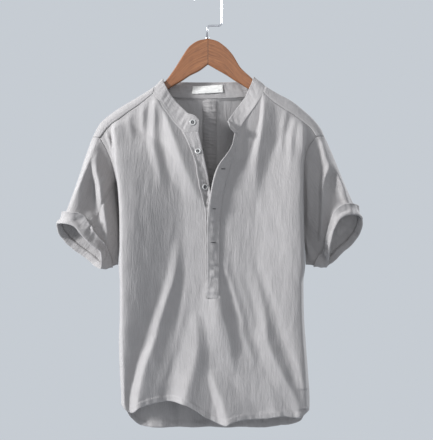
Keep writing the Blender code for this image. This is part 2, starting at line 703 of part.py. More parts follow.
def opening_points(side, loop, under):
    """The sleeve's end: an oval turned to the front, its points spaced as the armhole's are."""
    shape = OPENINGS[side]
    upper, lower = Vector(shape.upper), Vector(shape.lower)
    centre = (upper + lower) * 0.5
    long_axis = (lower - upper).normalized()
    outward = Vector((long_axis.z, 0.0, -long_axis.x)).normalized()
    if outward.z > 0.0:
        outward = -outward
    turn = math.radians(shape.turned)
    facing = (outward * math.cos(turn) + Vector((0.0, -1.0, 0.0)) * math.sin(turn)).normalized()
    across_axis = facing.cross(long_axis).normalized()
    if across_axis.y > 0.0:
        across_axis = -across_axis
    half_long = (lower - upper).length * 0.5

    def angles(points, start, end):
        lengths = [0.0]
        for before, after in zip(points, points[1:]):
            lengths.append(lengths[-1] + (after - before).length)
        return [start + (end - start) * length / lengths[-1] for length in lengths]

    turns = angles(loop[:under + 1], 0.0, 180.0)[:-1]
    turns += angles(loop[under:] + loop[:1], 180.0, 360.0)[:-1]
    ring = []
    for angle in turns:
        along, wide = math.cos(math.radians(angle)), math.sin(math.radians(angle))
        ring.append(centre - long_axis * half_long * along + across_axis * shape.half_wide * wide)
    return ring, turns


def sleeve_columns(side, halves, back):
    """Columns of a sleeve from the armhole to its end, with the turn of each."""
    loop, under = armhole_loop(side, halves, back)
    ring, turns = opening_points(side, loop, under)
    columns = []
    for start, end, turn in zip(loop, ring, turns):
        run = end - start
        near_underarm = ease(1.0 - abs(turn - 180.0) / 60.0)
        start = start + run.normalized() * (2.0 * SEAM + 1.6 * near_underarm)
        columns.append([start + (end - start) * row / SLEEVE_ROWS for row in range(SLEEVE_ROWS + 1)])
    normals = outward_normals(columns)
    for column, normal_column, turn in zip(columns, normals, turns):
        for row, normal in enumerate(normal_column):
            share = row / SLEEVE_ROWS
            swell = 0.0
            for fold in SLEEVE_FOLDS:
                if fold.side == side:
                    apart = abs((turn - fold.turn + 180.0) % 360.0 - 180.0) / fold.wide
                    reach = ease((share - fold.start) / 0.25) * ease((fold.end - share) / 0.25 + 0.3)
                    swell += fold.height * math.exp(-apart * apart) * reach
            column[row] = column[row] + normal * swell * ease(share / 0.2)
    return columns, turns


def outward_normals(columns):
    """Normals of a tube, pointing away from its middle line."""
    normals = normals_of(columns, closed=True)
    rows = len(columns[0])
    for row in range(rows):
        middle = sum((column[row] for column in columns), Vector()) / len(columns)
        facing = sum((column[row] - middle).dot(n[row]) for column, n in zip(columns, normals))
        if facing < 0.0:
            for n in normals:
                n[row] = -n[row]
    return normals


def cuff_columns(columns):
    """The turned-up cuff: over the sleeve's last stretch and just past its end."""
    normals = outward_normals(columns)
    stand_off = 0.5 * CLOTH + 0.5 * DOUBLED + 2.0 * SEAM
    steps = [(-CUFF_DEEP, 2.2), (-CUFF_DEEP * 0.66, 0.8), (-CUFF_DEEP * 0.33, 0.2), (2.5, 0.0)]
    result = []
    for column, normal_column in zip(columns, normals):
        lengths = [0.0]
        for before, after in zip(column, column[1:]):
            lengths.append(lengths[-1] + (after - before).length)
        end = (column[-1] - column[-2]).normalized()
        points = []
        for along, flare in steps:
            if along > 0.0:
                place, normal = column[-1] + end * along, normal_column[-1]
            else:
                at = lengths[-1] + max(along, -0.86 * lengths[-1])
                place = Vector([between(lengths, [p[axis] for p in column], at) for axis in range(3)])
                normal = Vector([between(lengths, [n[axis] for n in normal_column], at) for axis in range(3)])
            points.append(place + normal.normalized() * (stand_off + flare))
        result.append(points)
    return result


def make_sleeves(halves, back, finish):
    for side in ("left", "right"):
        columns, turns = sleeve_columns(side, halves, back)
        add_wall("sleeve_" + side, [columns], CLOTH, finish, closed=True)
        add_wall("cuff_" + side, [cuff_columns(columns)], DOUBLED, finish, closed=True)


# ---------------------------------------------------------------- buttons
def add_button(name, place, normal, finish):
    """A turned button with a raised rim, its back a seam's space off the cloth."""
    radius = 0.5 * BUTTON_WIDE
    profile = [
        (0.0, 0.5 * BUTTON_THICK - 0.6), (radius - 2.0, 0.5 * BUTTON_THICK - 0.5),
        (radius - 1.2, 0.5 * BUTTON_THICK), (radius - 0.4, 0.5 * BUTTON_THICK - 0.1), (radius, 0.3),
        (radius - 0.6, -0.5 * BUTTON_THICK), (0.0, -0.5 * BUTTON_THICK),
    ]
    mesh = bmesh.new()
    points = [mesh.verts.new((x * MM, 0.0, z * MM)) for x, z in profile]
    for before, after in zip(points, points[1:]):
        mesh.edges.new((before, after))
    data = bpy.data.meshes.new(name)
    mesh.to_mesh(data)
    mesh.free()
    made = add_object(name, data, finish)
    screw = made.modifiers.new("turned", "SCREW")
    screw.steps = screw.render_steps = 18
    screw.use_merge_vertices = True
    screw.merge_threshold = 0.00001
    made.location = (place + normal * (0.5 * DOUBLED + SEAM + 0.5 * BUTTON_THICK)) * MM
    made.rotation_mode = "QUATERNION"
    made.rotation_quaternion = normal.to_track_quat("Z", "Y")
    return made


def make_buttons(edge, finish):
    place, normal = band_point(edge, *COLLAR_BUTTON_AT)
    add_button("button_collar", place, normal if normal.y < 0.0 else -normal, finish)
    for button in BUTTONS:
        step = 5.0
        x, z = button.x, button.z
        place = Vector((x, placket_y("left", x, z), z))
        slope_x = placket_y("left", x + step, z) - placket_y("left", x - step, z)
        slope_z = placket_y("left", x, z + step) - placket_y("left", x, z - step)
        normal = Vector((slope_x, -2.0 * step, slope_z)).normalized()
        add_button(button.name, place, normal, finish)


# ---------------------------------------------------------------- hanger
def make_arm(side, finish):
    """One wooden arm: a flat outline with rounded edges, its joint face on the middle."""
    rows = ARMS[side]
    sign = -1.0 if side == "left" else 1.0
    top = spread([(row.x, row.top) for row in rows], 20)
    bottom = spread([(row.x, row.bottom) for row in rows], 16)
    outline = top + bottom[::-1]
    curve = bpy.data.curves.new("hanger_" + side, "CURVE")
    curve.dimensions = "2D"
    curve.fill_mode = "BOTH"
    curve.extrude = (0.5 * WOOD_THICK - WOOD_EDGE) * MM
    curve.bevel_depth = WOOD_EDGE * MM
    curve.bevel_resolution = 1
    curve.offset = -WOOD_EDGE * MM
    spline = curve.splines.new("POLY")
    spline.points.add(len(outline) - 1)
    for point, place in zip(spline.points, outline):
        point.co = ((place[0] + sign * 0.5 * SEAM) * MM, place[1] * MM, 0.0, 1.0)
    spline.use_cyclic_u = True
    made = add_object("hanger_" + side, curve, finish)
    made.rotation_euler = (0.5 * math.pi, 0.0, 0.0)
    return made


def rounded(corners, radius, steps):
    """A line through the corners, each turned with an arc."""
    points = [Vector(corners[0])]
    for before, corner, after in zip(corners, corners[1:], corners[2:]):
        corner = Vector(corner)
        back = (Vector(before) - corner).normalized()
        ahead = (Vector(after) - corner).normalized()
        centre = corner + (back + ahead) * radius
        for step in range(steps + 1):
            angle = 0.5 * math.pi * step / steps
            points.append(centre - ahead * radius * math.cos(angle) - back * radius * math.sin(angle))
    points.append(Vector(corners[-1]))
    return points


def make_hook(finish):
    curve = bpy.data.curves.new("hanger_hook", "CURVE")
    curve.dimensions = "3D"
    curve.bevel_depth = 0.5 * HOOK_WIRE * MM
    curve.bevel_resolution = 2
    curve.use_fill_caps = True
    line = rounded(HOOK_CORNERS, HOOK_BEND, 5)
    spline = curve.splines.new("POLY")
    spline.points.add(len(line) - 1)
    for point, place in zip(spline.points, line):
        point.co = (place[0] * MM, 0.0, place[1] * MM, 1.0)
    add_object("hanger_hook", curve, finish)


# ---------------------------------------------------------------- the whole
def main():
    for old in list(bpy.data.objects):
        bpy.data.objects.remove(old, do_unlink=True)
    collection = bpy.data.collections.new("linen_shirt_on_hanger")
    bpy.context.scene.collection.children.link(collection)

    linen = material("grey_linen", (0.46, 0.46, 0.47), 0.9)
    shell = material("button_shell", (0.62, 0.60, 0.57), 0.35)
    white = material("white_label", (0.86, 0.86, 0.85), 0.8)
    wood = material("brown_wood", (0.42, 0.20, 0.09), 0.42)
    steel = material("bright_steel", (0.75, 0.75, 0.76), 0.22, 1.0)

    halves = make_front(linen)
    back = make_back(linen)
    make_pleat_strip(linen)
    strips = make_plackets(halves, linen)
    edge = neck_edge(halves, back, strips)
    add_wall("collar_band", [band_columns(edge)], DOUBLED, linen)
    make_label(edge, white)
    make_sleeves(halves, back, linen)
    make_buttons(edge, shell)
    make_arm("left", wood)
    make_arm("right", wood)
    make_hook(steel)


main()
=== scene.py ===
"""The looks of a short-sleeved linen popover shirt hanging open-necked on a wooden hanger.

Places are in millimetres until MM turns them into metres. X runs to the right as the front is
seen, the front faces -Y, and Z is up, from the underside of the hook's top bar.
"""
import math

import bmesh
import bpy
import numpy as np
from mathutils import Matrix, Vector


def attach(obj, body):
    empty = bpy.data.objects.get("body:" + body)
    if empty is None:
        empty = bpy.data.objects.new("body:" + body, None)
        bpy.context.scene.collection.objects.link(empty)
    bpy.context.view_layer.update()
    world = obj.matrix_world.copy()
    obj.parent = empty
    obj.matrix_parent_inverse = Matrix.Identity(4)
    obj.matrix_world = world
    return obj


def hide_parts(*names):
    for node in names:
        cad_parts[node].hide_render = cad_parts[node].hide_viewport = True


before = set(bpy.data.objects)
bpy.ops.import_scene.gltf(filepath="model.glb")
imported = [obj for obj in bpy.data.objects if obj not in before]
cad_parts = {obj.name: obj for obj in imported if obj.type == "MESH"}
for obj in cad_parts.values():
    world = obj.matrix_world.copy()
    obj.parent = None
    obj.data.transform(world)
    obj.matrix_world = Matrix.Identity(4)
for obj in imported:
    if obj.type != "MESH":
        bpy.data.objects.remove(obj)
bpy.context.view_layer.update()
MM = 0.001


# ------------------------------------------------------------------------------ hook
# The hook is one 4 mm polished steel wire, bent square in a jig. Its threaded foot goes into
# the wood through a small pressed collar.
HOOK_WIRE = 4.0
HOOK_BEND = 7.0
HOOK_CORNERS = [(-2.0, -104.0), (-2.0, -77.0), (28.5, -77.0), (28.5, 2.0), (-28.5, 2.0), (-28.5, -24.0)]
COLLAR_WIDE = 8.4
COLLAR_HIGH = 3.0
COLLAR_ROUND = 0.6
# Steps that round the wire's short end: how much the ring shrinks, and how far it moves on.
HOOK_TIP = [(0.93, 0.5), (0.72, 0.45), (0.35, 0.25)]


class Varied:
    """A value that varies over a surface. Sums and products of it add Math nodes."""

    def __init__(self, finish, socket):
        self.finish = finish
        self.socket = socket

    def joined(self, operation, first, second):
        return self.finish.node("ShaderNodeMath", {"operation": operation}, {0: first, 1: second})

    def __add__(self, other):
        return self.joined("ADD", self, other)

    __radd__ = __add__

    def __mul__(self, other):
        return self.joined("MULTIPLY", self, other)

    __rmul__ = __mul__

    def size(self):
        return self.joined("ABSOLUTE", self, 0.0)


class Finish:
    """A material built from nodes. Its fixed values are the shader's own socket names."""

    def __init__(self, name, fixed):
        self.material = bpy.data.materials.new(name)
        self.material.use_nodes = True
        self.tree = self.material.node_tree
        self.shader = self.tree.nodes["Principled BSDF"]
        for socket, value in fixed.items():
            self.feed(self.shader.inputs[socket], value)

    def feed(self, socket, value):
        if isinstance(value, Varied):
            self.tree.links.new(value.socket, socket)
        else:
            socket.default_value = value

    def node(self, kind, settings, sockets, output=0):
        made = self.tree.nodes.new(kind)
        for name, value in settings.items():
            if name == "stops":
                ramp = made.color_ramp.elements
                while len(ramp) < len(value):
                    ramp.new(0.5)
                for stop, (place, colour) in zip(ramp, value):
                    stop.position = place
                    stop.color = (*colour, 1.0)
            else:
                setattr(made, name, value)
        for name, value in sockets.items():
            self.feed(made.inputs[name], value)
        return Varied(self, made.outputs[output])

    def places(self):
        return self.node("ShaderNodeTexCoord", {}, {}, "Object")

    def lay(self):
        """Places on the piece's flat lay, in metres."""
        return self.node("ShaderNodeUVMap", {"uv_map": "cut"}, {})

    def cloudy(self, places, scale, detail, roughness=0.5):
        sockets = {"Vector": places, "Scale": scale, "Detail": detail, "Roughness": roughness}
        return self.node("ShaderNodeTexNoise", {}, sockets)

    def streaky(self, places, scales, detail, roughness=0.5):
        """Cloudiness with a scale of its own along each axis."""
        stretched = self.node("ShaderNodeMapping", {}, {"Vector": places, "Scale": scales})
        return self.cloudy(stretched, 1.0, detail, roughness)

    def blended(self, share, first, second, way="MIX"):
        sockets = {0: share, 6: first, 7: second}
        return self.node("ShaderNodeMix", {"data_type": "RGBA", "blend_type": way}, sockets, 2)

    def ramp(self, share, stops):
        return self.node("ShaderNodeValToRGB", {"stops": stops}, {"Fac": share})

    def set(self, socket, value):
        self.feed(self.shader.inputs[socket], value)

    def relief(self, height, depth, strength=1.0):
        """Feed a bump whose heights from 0 to 1 stand for a depth in metres."""
        sockets = {"Height": height, "Distance": depth, "Strength": strength}
        self.set("Normal", self.node("ShaderNodeBump", {}, sockets))


def finished(name, mesh, finish):
    """A piece from a bmesh in metres, with its finish, riding on the shirt's one body."""
    data = bpy.data.meshes.new(name)
    mesh.to_mesh(data)
    mesh.free()
    data.materials.append(finish.material)
    data.shade_smooth()
    made = bpy.data.objects.new(name, data)
    bpy.context.scene.collection.objects.link(made)
    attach(made, "root")
    return made


def far_end(made):
    """The points at the far end of what was drawn out, and the edges between them."""
    ring = [item for item in made if isinstance(item, bmesh.types.BMVert)]
    edges = [item for item in made if isinstance(item, bmesh.types.BMEdge)]
    return ring, [edge for edge in edges if edge.verts[0] in ring and edge.verts[1] in ring]


steel = Finish("polished_steel", {"Base Color": (0.46, 0.46, 0.48, 1.0), "Metallic": 1.0})
brushed = steel.streaky(steel.places(), (900.0, 900.0, 60.0), 2.0)
steel.set("Roughness", 0.2 + 0.2 * brushed)
steel.relief(brushed, 0.00002)

wire = bmesh.new()
start = Vector((HOOK_CORNERS[0][0], 0.0, HOOK_CORNERS[0][1]))
ring = bmesh.ops.create_circle(
    wire, segments=20, radius=0.5 * HOOK_WIRE * MM, matrix=Matrix.Translation(start * MM)
)["verts"]
edges = list({edge for vert in ring for edge in vert.link_edges})
bmesh.ops.holes_fill(wire, edges=edges)
place = start
corners = [Vector((x, 0.0, z)) for x, z in HOOK_CORNERS]
for number, corner in enumerate(corners[1:], 1):
    heading = (corner - corners[number - 1]).normalized()
    last = number == len(corners) - 1
    reach = (corner - place).length - (0.0 if last else HOOK_BEND)
    ring, edges = far_end(bmesh.ops.extrude_edge_only(wire, edges=edges)["geom"])
    bmesh.ops.translate(wire, verts=ring, vec=heading * reach * MM)
    place = place + heading * reach
    if not last:
        ahead = (corners[number + 1] - corner).normalized()
        centre = place + ahead * HOOK_BEND
        axis = heading.cross(ahead)
        ring, edges = far_end(bmesh.ops.spin(
            wire, geom=ring + edges, cent=centre * MM, axis=axis, angle=0.5 * math.pi, steps=10
        )["geom_last"])
        place = centre + heading * HOOK_BEND
for shrink, step in HOOK_TIP:
    ring, edges = far_end(bmesh.ops.extrude_edge_only(wire, edges=edges)["geom"])
    bmesh.ops.translate(wire, verts=ring, vec=heading * step * MM)
    middle = sum((vert.co for vert in ring), Vector()) / len(ring)
    bmesh.ops.scale(wire, verts=ring, vec=(shrink, shrink, 1.0), space=Matrix.Translation(-middle))
bmesh.ops.holes_fill(wire, edges=edges)
collar = bmesh.ops.create_cone(
    wire, cap_ends=True, segments=28, radius1=0.5 * COLLAR_WIDE * MM, radius2=0.42 * COLLAR_WIDE * MM,
    depth=COLLAR_HIGH * MM, matrix=Matrix.Translation((start + Vector((0.0, 0.0, 0.5 * COLLAR_HIGH))) * MM)
)["verts"]
rims = {edge for vert in collar for edge in vert.link_edges}
rims = [edge for edge in rims if edge.calc_face_angle(0.0) > 0.9]
bmesh.ops.bevel(
    wire, geom=rims, offset=COLLAR_ROUND * MM, segments=3, profile=0.5, affect="EDGES", material=-1
)
bmesh.ops.recalc_face_normals(wire, faces=wire.faces)
hook = finished("hook_wire", wire, steel)
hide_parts("hanger_hook")


# ------------------------------------------------------------------------------ wooden arms
# Two arms sawn from 12 mm light hardwood, with rounded edges and a clear satin lacquer. They are
# glued and dowelled together in the middle, where a fine joint line shows.
ARM_THICK = 12.0
ARM_ROUND = 2.6
ARM_STEPS = 72
ARM_LINES = 7
ARMS = {
    "left": [
        (0.0, -104.5, -158.5), (18.0, -108.0, -172.0), (38.0, -120.0, -182.0), (53.0, -140.5, -192.0),
        (70.0, -167.5, -202.0), (92.0, -196.5, -215.5), (112.0, -211.5, -229.5), (133.0, -223.5, -244.0),
        (156.0, -237.5, -260.0), (183.0, -253.5, -279.0), (200.0, -266.0, -289.0), (209.0, -275.5, -287.0),
    ],
    "right": [
        (0.0, -104.5, -158.5), (18.0, -109.0, -169.0), (36.0, -121.0, -179.0), (52.0, -138.5, -189.5),
        (68.0, -164.5, -199.5), (90.0, -185.5, -213.0), (112.0, -206.5, -229.5), (134.0, -218.5, -244.0),
        (158.0, -231.5, -260.0), (186.0, -249.5, -279.0), (203.0, -263.5, -289.0), (212.0, -273.0, -286.0),
    ],
}


def curve(knots, values, at):
    """Values at places between rising knots, on smooth curves that never overshoot."""
    knots, values = np.asarray(knots, float), np.asarray(values, float)
    at = np.clip(at, knots[0], knots[-1])
    span = np.diff(knots)
    slope = np.diff(values) / span
    before, after = slope[:-1], slope[1:]
    agree = before * after > 0.0
    tangent = np.concatenate((slope[:1], np.zeros(len(knots) - 2), slope[-1:]))
    tangent[1:-1][agree] = (2.0 * before * after)[agree] / (before + after)[agree]
    here = np.clip(np.searchsorted(knots, at, side="right") - 1, 0, len(span) - 1)
    share = (at - knots[here]) / span[here]
    square, cube = share ** 2, share ** 3
    return (
        (2 * cube - 3 * square + 1) * values[here]
        + (cube - 2 * square + share) * span[here] * tangent[here]
        + (3 * square - 2 * cube) * values[here + 1]
        + (cube - square) * span[here] * tangent[here + 1]
    )


def curves(knots, values, at):
    """The same for each column of values, side by side."""
    return np.stack([curve(knots, column, at) for column in np.asarray(values, float).T], -1)


def run_along(points, axis=0):
    """Lengths along lines of points, from each line's first point on."""
    steps = np.linalg.norm(np.diff(points, axis=axis), axis=-1)
    return np.insert(np.cumsum(steps, axis=axis), 0, 0.0, axis=axis)


def gridded(places, cut):
    """A bmesh sheet through a grid of places in millimetres, shape (columns, rows, 3), with its
    flat lay, shape (columns, rows, 2), kept as the UV map "cut" in metres."""
    columns, rows = places.shape[0] - 1, places.shape[1] - 1
    sheet = bmesh.new()
    bmesh.ops.create_grid(sheet, x_segments=columns, y_segments=rows, size=1.0)
    layout = sheet.loops.layers.uv.new("cut")
    spots = {
        vert: (round((vert.co.x + 1.0) * 0.5 * columns), round((vert.co.y + 1.0) * 0.5 * rows))
        for vert in sheet.verts
    }
    for face in sheet.faces:
        for loop in face.loops:
            loop[layout].uv = cut[spots[loop.vert]] * MM
    for vert, spot in spots.items():
        vert.co = places[spot] * MM
    return sheet, spots


wood = Finish("lacquered_wood", {"Coat Roughness": 0.28, "Specular IOR Level": 0.35})
grain = wood.lay()
drift = wood.streaky(grain, (7.0, 26.0, 1.0), 2.0)
bent = wood.node("ShaderNodeVectorMath", {"operation": "MULTIPLY_ADD"}, {
    0: wood.node("ShaderNodeCombineXYZ", {}, {"Y": drift}), 1: (0.0, 0.022, 0.0), 2: grain})
lines = wood.streaky(bent, (9.0, 330.0, 1.0), 3.0, 0.55)
pores = wood.streaky(bent, (60.0, 1500.0, 1.0), 1.0)
streaks = wood.ramp(lines, [
    (0.24, (0.105, 0.038, 0.013)), (0.44, (0.190, 0.070, 0.025)),
    (0.60, (0.232, 0.090, 0.033)), (0.78, (0.300, 0.132, 0.052)),
])
dark_pores = wood.ramp(pores, [(0.36, (0.55, 0.50, 0.46)), (0.47, (1.0, 1.0, 1.0))])
porous = wood.blended(0.75, streaks, dark_pores, "MULTIPLY")
sideways = wood.node("ShaderNodeSeparateXYZ", {}, {0: wood.places()}).size()
wood.set("Base Color", wood.blended(wood.ramp(sideways * 1000.0, [
    (0.35, (1.0, 1.0, 1.0)), (0.75, (0.0, 0.0, 0.0))]), porous, (0.05, 0.022, 0.012, 1.0)))
wood.set("Roughness", 0.34 + 0.16 * lines)
wood.set("Coat Weight", 0.14 + 0.16 * lines)
wood.relief(0.6 * lines + 0.4 * pores, 0.00012)

for side, sign in (("left", -1.0), ("right", 1.0)):
    rows = np.array(ARMS[side])
    steps = np.linspace(0.0, 1.0, ARM_STEPS + 1)
    reach = rows[-1, 0] * (0.35 * steps + 0.65 * np.sin(0.5 * np.pi * steps))
    top, bottom = curve(rows[:, 0], rows[:, 1], reach), curve(rows[:, 0], rows[:, 2], reach)
    middle = 0.5 * (top + bottom)
    run = run_along(np.stack((reach, middle), -1))
    share = np.linspace(0.0, 1.0, ARM_LINES)
    x = np.broadcast_to(sign * (reach + 0.02)[:, None], (ARM_STEPS + 1, ARM_LINES))
    z = top[:, None] + (bottom - top)[:, None] * share
    places = np.stack((x, np.full_like(z, -0.5 * ARM_THICK), z), -1)
    cut = np.stack((np.broadcast_to(run[:, None], z.shape) + 300.0 * sign, z - middle[:, None]), -1)
    arm, spots = gridded(places, cut)
    behind, _ = far_end(bmesh.ops.extrude_face_region(arm, geom=arm.faces[:])["geom"])
    bmesh.ops.translate(arm, verts=behind, vec=(0.0, ARM_THICK * MM, 0.0))
    bmesh.ops.recalc_face_normals(arm, faces=arm.faces)
    sharp = [edge for edge in arm.edges if edge.calc_face_angle(0.0) > 0.7]
    sharp = [edge for edge in sharp if max(abs(vert.co.x) for vert in edge.verts) > 0.5 * MM]
    bmesh.ops.bevel(
        arm, geom=sharp, offset=ARM_ROUND * MM, segments=4, profile=0.5, affect="EDGES", material=-1
    )
    made = finished(side + "_arm_of_hanger", arm, wood)
    made.data.set_sharp_from_angle(angle=0.9)
    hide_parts("hanger_" + side)


# ------------------------------------------------------------------------------ back panel
# One piece of crinkled linen. It comes forward over the hanger to the shoulder seams and hangs
# behind, with a box pleat pressed into its middle and a narrow turned hem.
CLOTH = 0.9
RIDGE_ROUND = 14.0
# How far the front and back stand off the hanger's plane, and how far down they take to do so.
FRONT_DEPTH, FRONT_OPENS = 60.0, 260.0
BACK_DEPTH, BACK_OPENS = 50.0, 200.0
BACK_SQUARE = 2.5
UNDERARM_Z = -578.0
SHOULDER_TIP_Z = -311.0
SIDE_EDGE = 0.55
ARMHOLE_LOW = 0.5
HEM_TURN = 11.0
# A panel's columns share out its width at the hem's level, and settle into those shares this far
# below the shoulders and neck.
HEM_LEVEL = -880.0
SETTLES_IN = 230.0
SHOULDER_COLUMNS = 36
BACK_NECK_COLUMNS = 56
WRAP_ROWS = 8
BACK_ROWS = 200
# Shoulders from tip to neck: ridge x and z, seam x and z.
SHOULDERS = {
    "left": [
        (-241.5, -311.0, -225.0, -313.0), (-227.0, -283.5, -207.5, -291.5), (-204.0, -263.0, -185.0, -274.5),
        (-183.0, -248.5, -161.0, -257.0), (-156.0, -232.5, -140.0, -242.5), (-133.0, -218.5, -122.0, -227.5),
        (-112.0, -205.0, -114.0, -220.0),
    ],
    "right": [
        (244.0, -310.0, 226.0, -311.0), (238.0, -296.0, 213.0, -292.0), (222.0, -275.0, 199.0, -281.0),
        (202.0, -256.5, 177.0, -264.5), (173.0, -234.0, 157.0, -252.0), (146.0, -219.5, 134.0, -236.0),
        (120.0, -204.0, 116.0, -219.0),
    ],
}
# Side lines from the hem up: z, then the front's left and right, then the back's.
SIDES = np.array([
    (-900.0, -181.0, 210.0, -181.0, 210.0), (-860.0, -181.0, 212.5, -181.0, 212.5),
    (-800.0, -184.0, 209.0, -184.0, 209.0), (-735.0, -186.0, 204.0, -186.0, 204.0),
    (-680.0, -184.0, 200.5, -184.0, 200.5), (-615.0, -184.0, 199.5, -184.0, 199.5),
    (-578.0, -186.5, 203.0, -186.5, 203.0), (-540.0, -184.5, 202.0, -187.0, 203.5),
    (-480.0, -185.0, 200.5, -190.0, 204.0), (-422.0, -188.5, 200.0, -196.0, 205.0),
    (-370.0, -198.5, 201.5, -209.0, 211.0), (-338.0, -210.0, 207.0, -220.0, 220.0),
    (-311.0, -225.0, 226.0, -225.0, 226.0),
])
BACK_HEM = [
    (-182.0, -866.0), (-165.0, -904.0), (-142.0, -925.0), (-103.0, -929.0), (47.0, -930.0),
    (111.0, -929.0), (165.0, -924.0), (197.0, -911.0), (212.0, -878.0),
]
# Creases run down the cloth. Each place is x, z, height, and how far the left and right flanks
# reach. A height below 0 is a hollow.
BACK_CREASES = {
    "under the neck": [
        (2, -195, -14, 100, 100), (2, -250, -21, 96, 96), (2, -310, -30, 92, 92), (2, -400, -33, 92, 92),
        (2, -490, -20, 92, 92), (2, -640, 0, 80, 80),
    ],
    "pleat, left edge": [(-12, -225, 2, 5, 12), (-13, -480, 3, 6, 14), (-15, -640, 0, 8, 14)],
    "pleat, right edge": [(20, -470, 0, 12, 5), (20, -540, 3, 14, 6), (22, -680, 0, 14, 8)],
    "left shoulder blade": [(-140, -270, 0, 34, 26), (-130, -400, 8, 40, 30), (-108, -600, 0, 36, 26)],
    "right shoulder blade": [(150, -270, 0, 26, 34), (140, -400, 8, 30, 40), (116, -610, 0, 26, 34)],
    "left yoke": [(-90, -240, 0, 16, 14), (-84, -320, 3, 18, 14), (-60, -430, 0, 16, 14)],
    "right yoke": [(96, -240, 0, 14, 16), (90, -310, 3, 14, 18), (70, -420, 0, 14, 16)],
    "left hollow": [(-70, -330, 0, 60, 50), (-66, -560, -10, 70, 56), (-82, -800, 0, 60, 50)],
    "right hollow": [(82, -330, 0, 50, 60), (76, -600, -9, 60, 66), (92, -810, 0, 50, 60)],
    "left skirt, outer": [(-126, -580, 0, 30, 24), (-140, -760, 11, 36, 28), (-146, -950, 13, 36, 30)],
    "left skirt, inner": [(-46, -540, 0, 26, 20), (-52, -740, 8, 30, 24), (-64, -950, 10, 32, 26)],
    "middle skirt": [(10, -600, 0, 28, 28), (6, -780, 9, 32, 30), (2, -950, 12, 34, 32)],
    "right skirt, inner": [(58, -590, 0, 20, 26), (64, -760, 8, 24, 30), (70, -950, 10, 26, 32)],
    "right skirt, outer": [(132, -540, 0, 24, 30), (146, -740, 11, 28, 36), (158, -950, 13, 30, 38)],
    "left armhole": [(-200, -350, 0, 8, 14), (-176, -460, 5, 10, 18), (-166, -620, 0, 10, 18)],
    "right armhole": [(208, -340, 0, 14, 8), (186, -450, 5, 18, 10), (182, -610, 0, 18, 10)],
}


def eased(share):
    """0 below 0, 1 above 1, and a soft step between."""
    share = np.clip(share, 0.0, 1.0)
    return share * share * (3.0 - 2.0 * share)


def spread(points, count):
    """Points at equal steps along a smooth line through the given points."""
    points = np.asarray(points, float)
    lengths = run_along(points)
    at = np.linspace(0.0, lengths[-1], count + 1)
    return curves(lengths, points, at)


def below_ridge(x, z):
    """How far a place hangs below the shoulders' ridge, carried on across the neck."""
    ridge = [row[:2] for row in SHOULDERS["left"]] + [(0.0, -148.0)]
    ridge = np.array(ridge + [row[:2] for row in reversed(SHOULDERS["right"])])
    return np.maximum(0.0, curve(ridge[:, 0], ridge[:, 1], x) - z)


def hang_depth(drop, full, reach):
    """Distance from the hanger's plane: round over the ridge, then opening out as it hangs."""
    near = np.sqrt(np.maximum(0.0, RIDGE_ROUND ** 2 - (RIDGE_ROUND - np.minimum(drop, RIDGE_ROUND)) ** 2))
    share = np.clip((drop - RIDGE_ROUND) / reach, 0.0, 1.0)
    far = RIDGE_ROUND + (full - RIDGE_ROUND) * (1.0 - (1.0 - share) ** 1.8)
    return np.where(drop < RIDGE_ROUND, near, far)


def side_lines(z, face):
    first = 1 if face == "front" else 3
    return curve(SIDES[:, 0], SIDES[:, first], z), curve(SIDES[:, 0], SIDES[:, first + 1], z)


def across(x, z, face):
    """Place across the body: -1 at the left side line and 1 at the right one."""
    left, right = side_lines(z, face)
    return (2.0 * x - left - right) / (right - left)


def plan_share(x, z, face, square):
    """Share of the depth at a place across the body: an oval that the armholes cut short."""
    opened = np.clip((z - UNDERARM_Z) / (SHOULDER_TIP_Z - UNDERARM_Z), 0.0, 1.0)
    edge = ARMHOLE_LOW * np.sqrt(1.0 - (1.0 - opened) ** 2) + (0.999 - ARMHOLE_LOW) * opened ** 3
    cut = (1.0 - edge ** square) ** (1.0 / square)
    place = np.minimum(1.0, np.abs(across(x, z, face)) * cut)
    return (1.0 - place ** square) ** (1.0 / square)


def creased(creases, x, z):
    """Height of the creases at each place: sharp along the top, soft at the foot."""
    total = np.zeros_like(x)
    for places in creases.values():
        rows = np.array(sorted((place[1], place[0]) + tuple(place[2:]) for place in places), float)
        centre, height, left, right = (curve(rows[:, 0], rows[:, i], z) for i in (1, 2, 3, 4))
        lean = (curve(rows[:, 0], rows[:, 1], z + 2.0) - curve(rows[:, 0], rows[:, 1], z - 2.0)) / 4.0
        away = (x - centre) / np.sqrt(1.0 + lean ** 2)
        wide = np.where(away < 0.0, left, right)
        blunt = 0.1 * wide + 1.0
        share = np.clip((np.sqrt(away ** 2 + blunt ** 2) - blunt) / wide, 0.0, 1.0)
        inside = (z >= rows[0, 0]) & (z <= rows[-1, 0])
        total += np.where(inside, height * (1.0 - share) ** 1.3, 0.0)
    return total


def ruffled(u, v, wide, long, seed):
    """Smooth uneven ripples from -1 to 1, wide across and long along the cloth."""
    across_at, along_at = np.asarray(u) / wide, np.asarray(v) / long
    lattice = np.random.default_rng(seed).uniform(-1.0, 1.0, (64, 64))
    column, row = np.floor(across_at).astype(int), np.floor(along_at).astype(int)
    a, b = eased(across_at - column), eased(along_at - row)
    corner = [lattice[(column + i) % 64, (row + j) % 64] for i in (0, 1) for j in (0, 1)]
    return (corner[0] * (1 - b) + corner[1] * b) * (1 - a) + (corner[2] * (1 - b) + corner[3] * b) * a


def crinkled(u, v, seed):
    """The cloth's own lengthwise crinkle, in millimetres."""
    broad = ruffled(u + 0.25 * v, v, 15.0, 70.0, seed) + 0.7 * ruffled(u - 0.15 * v, v, 8.5, 46.0, seed + 1)
    return 0.55 * broad


def fading(x, z, face):
    """Creases die out at the shoulder seams, and at the armholes and side seams."""
    return eased((below_ridge(x, z) - 15.0) / 26.0), eased((1.0 - np.abs(across(x, z, face))) / 0.05)


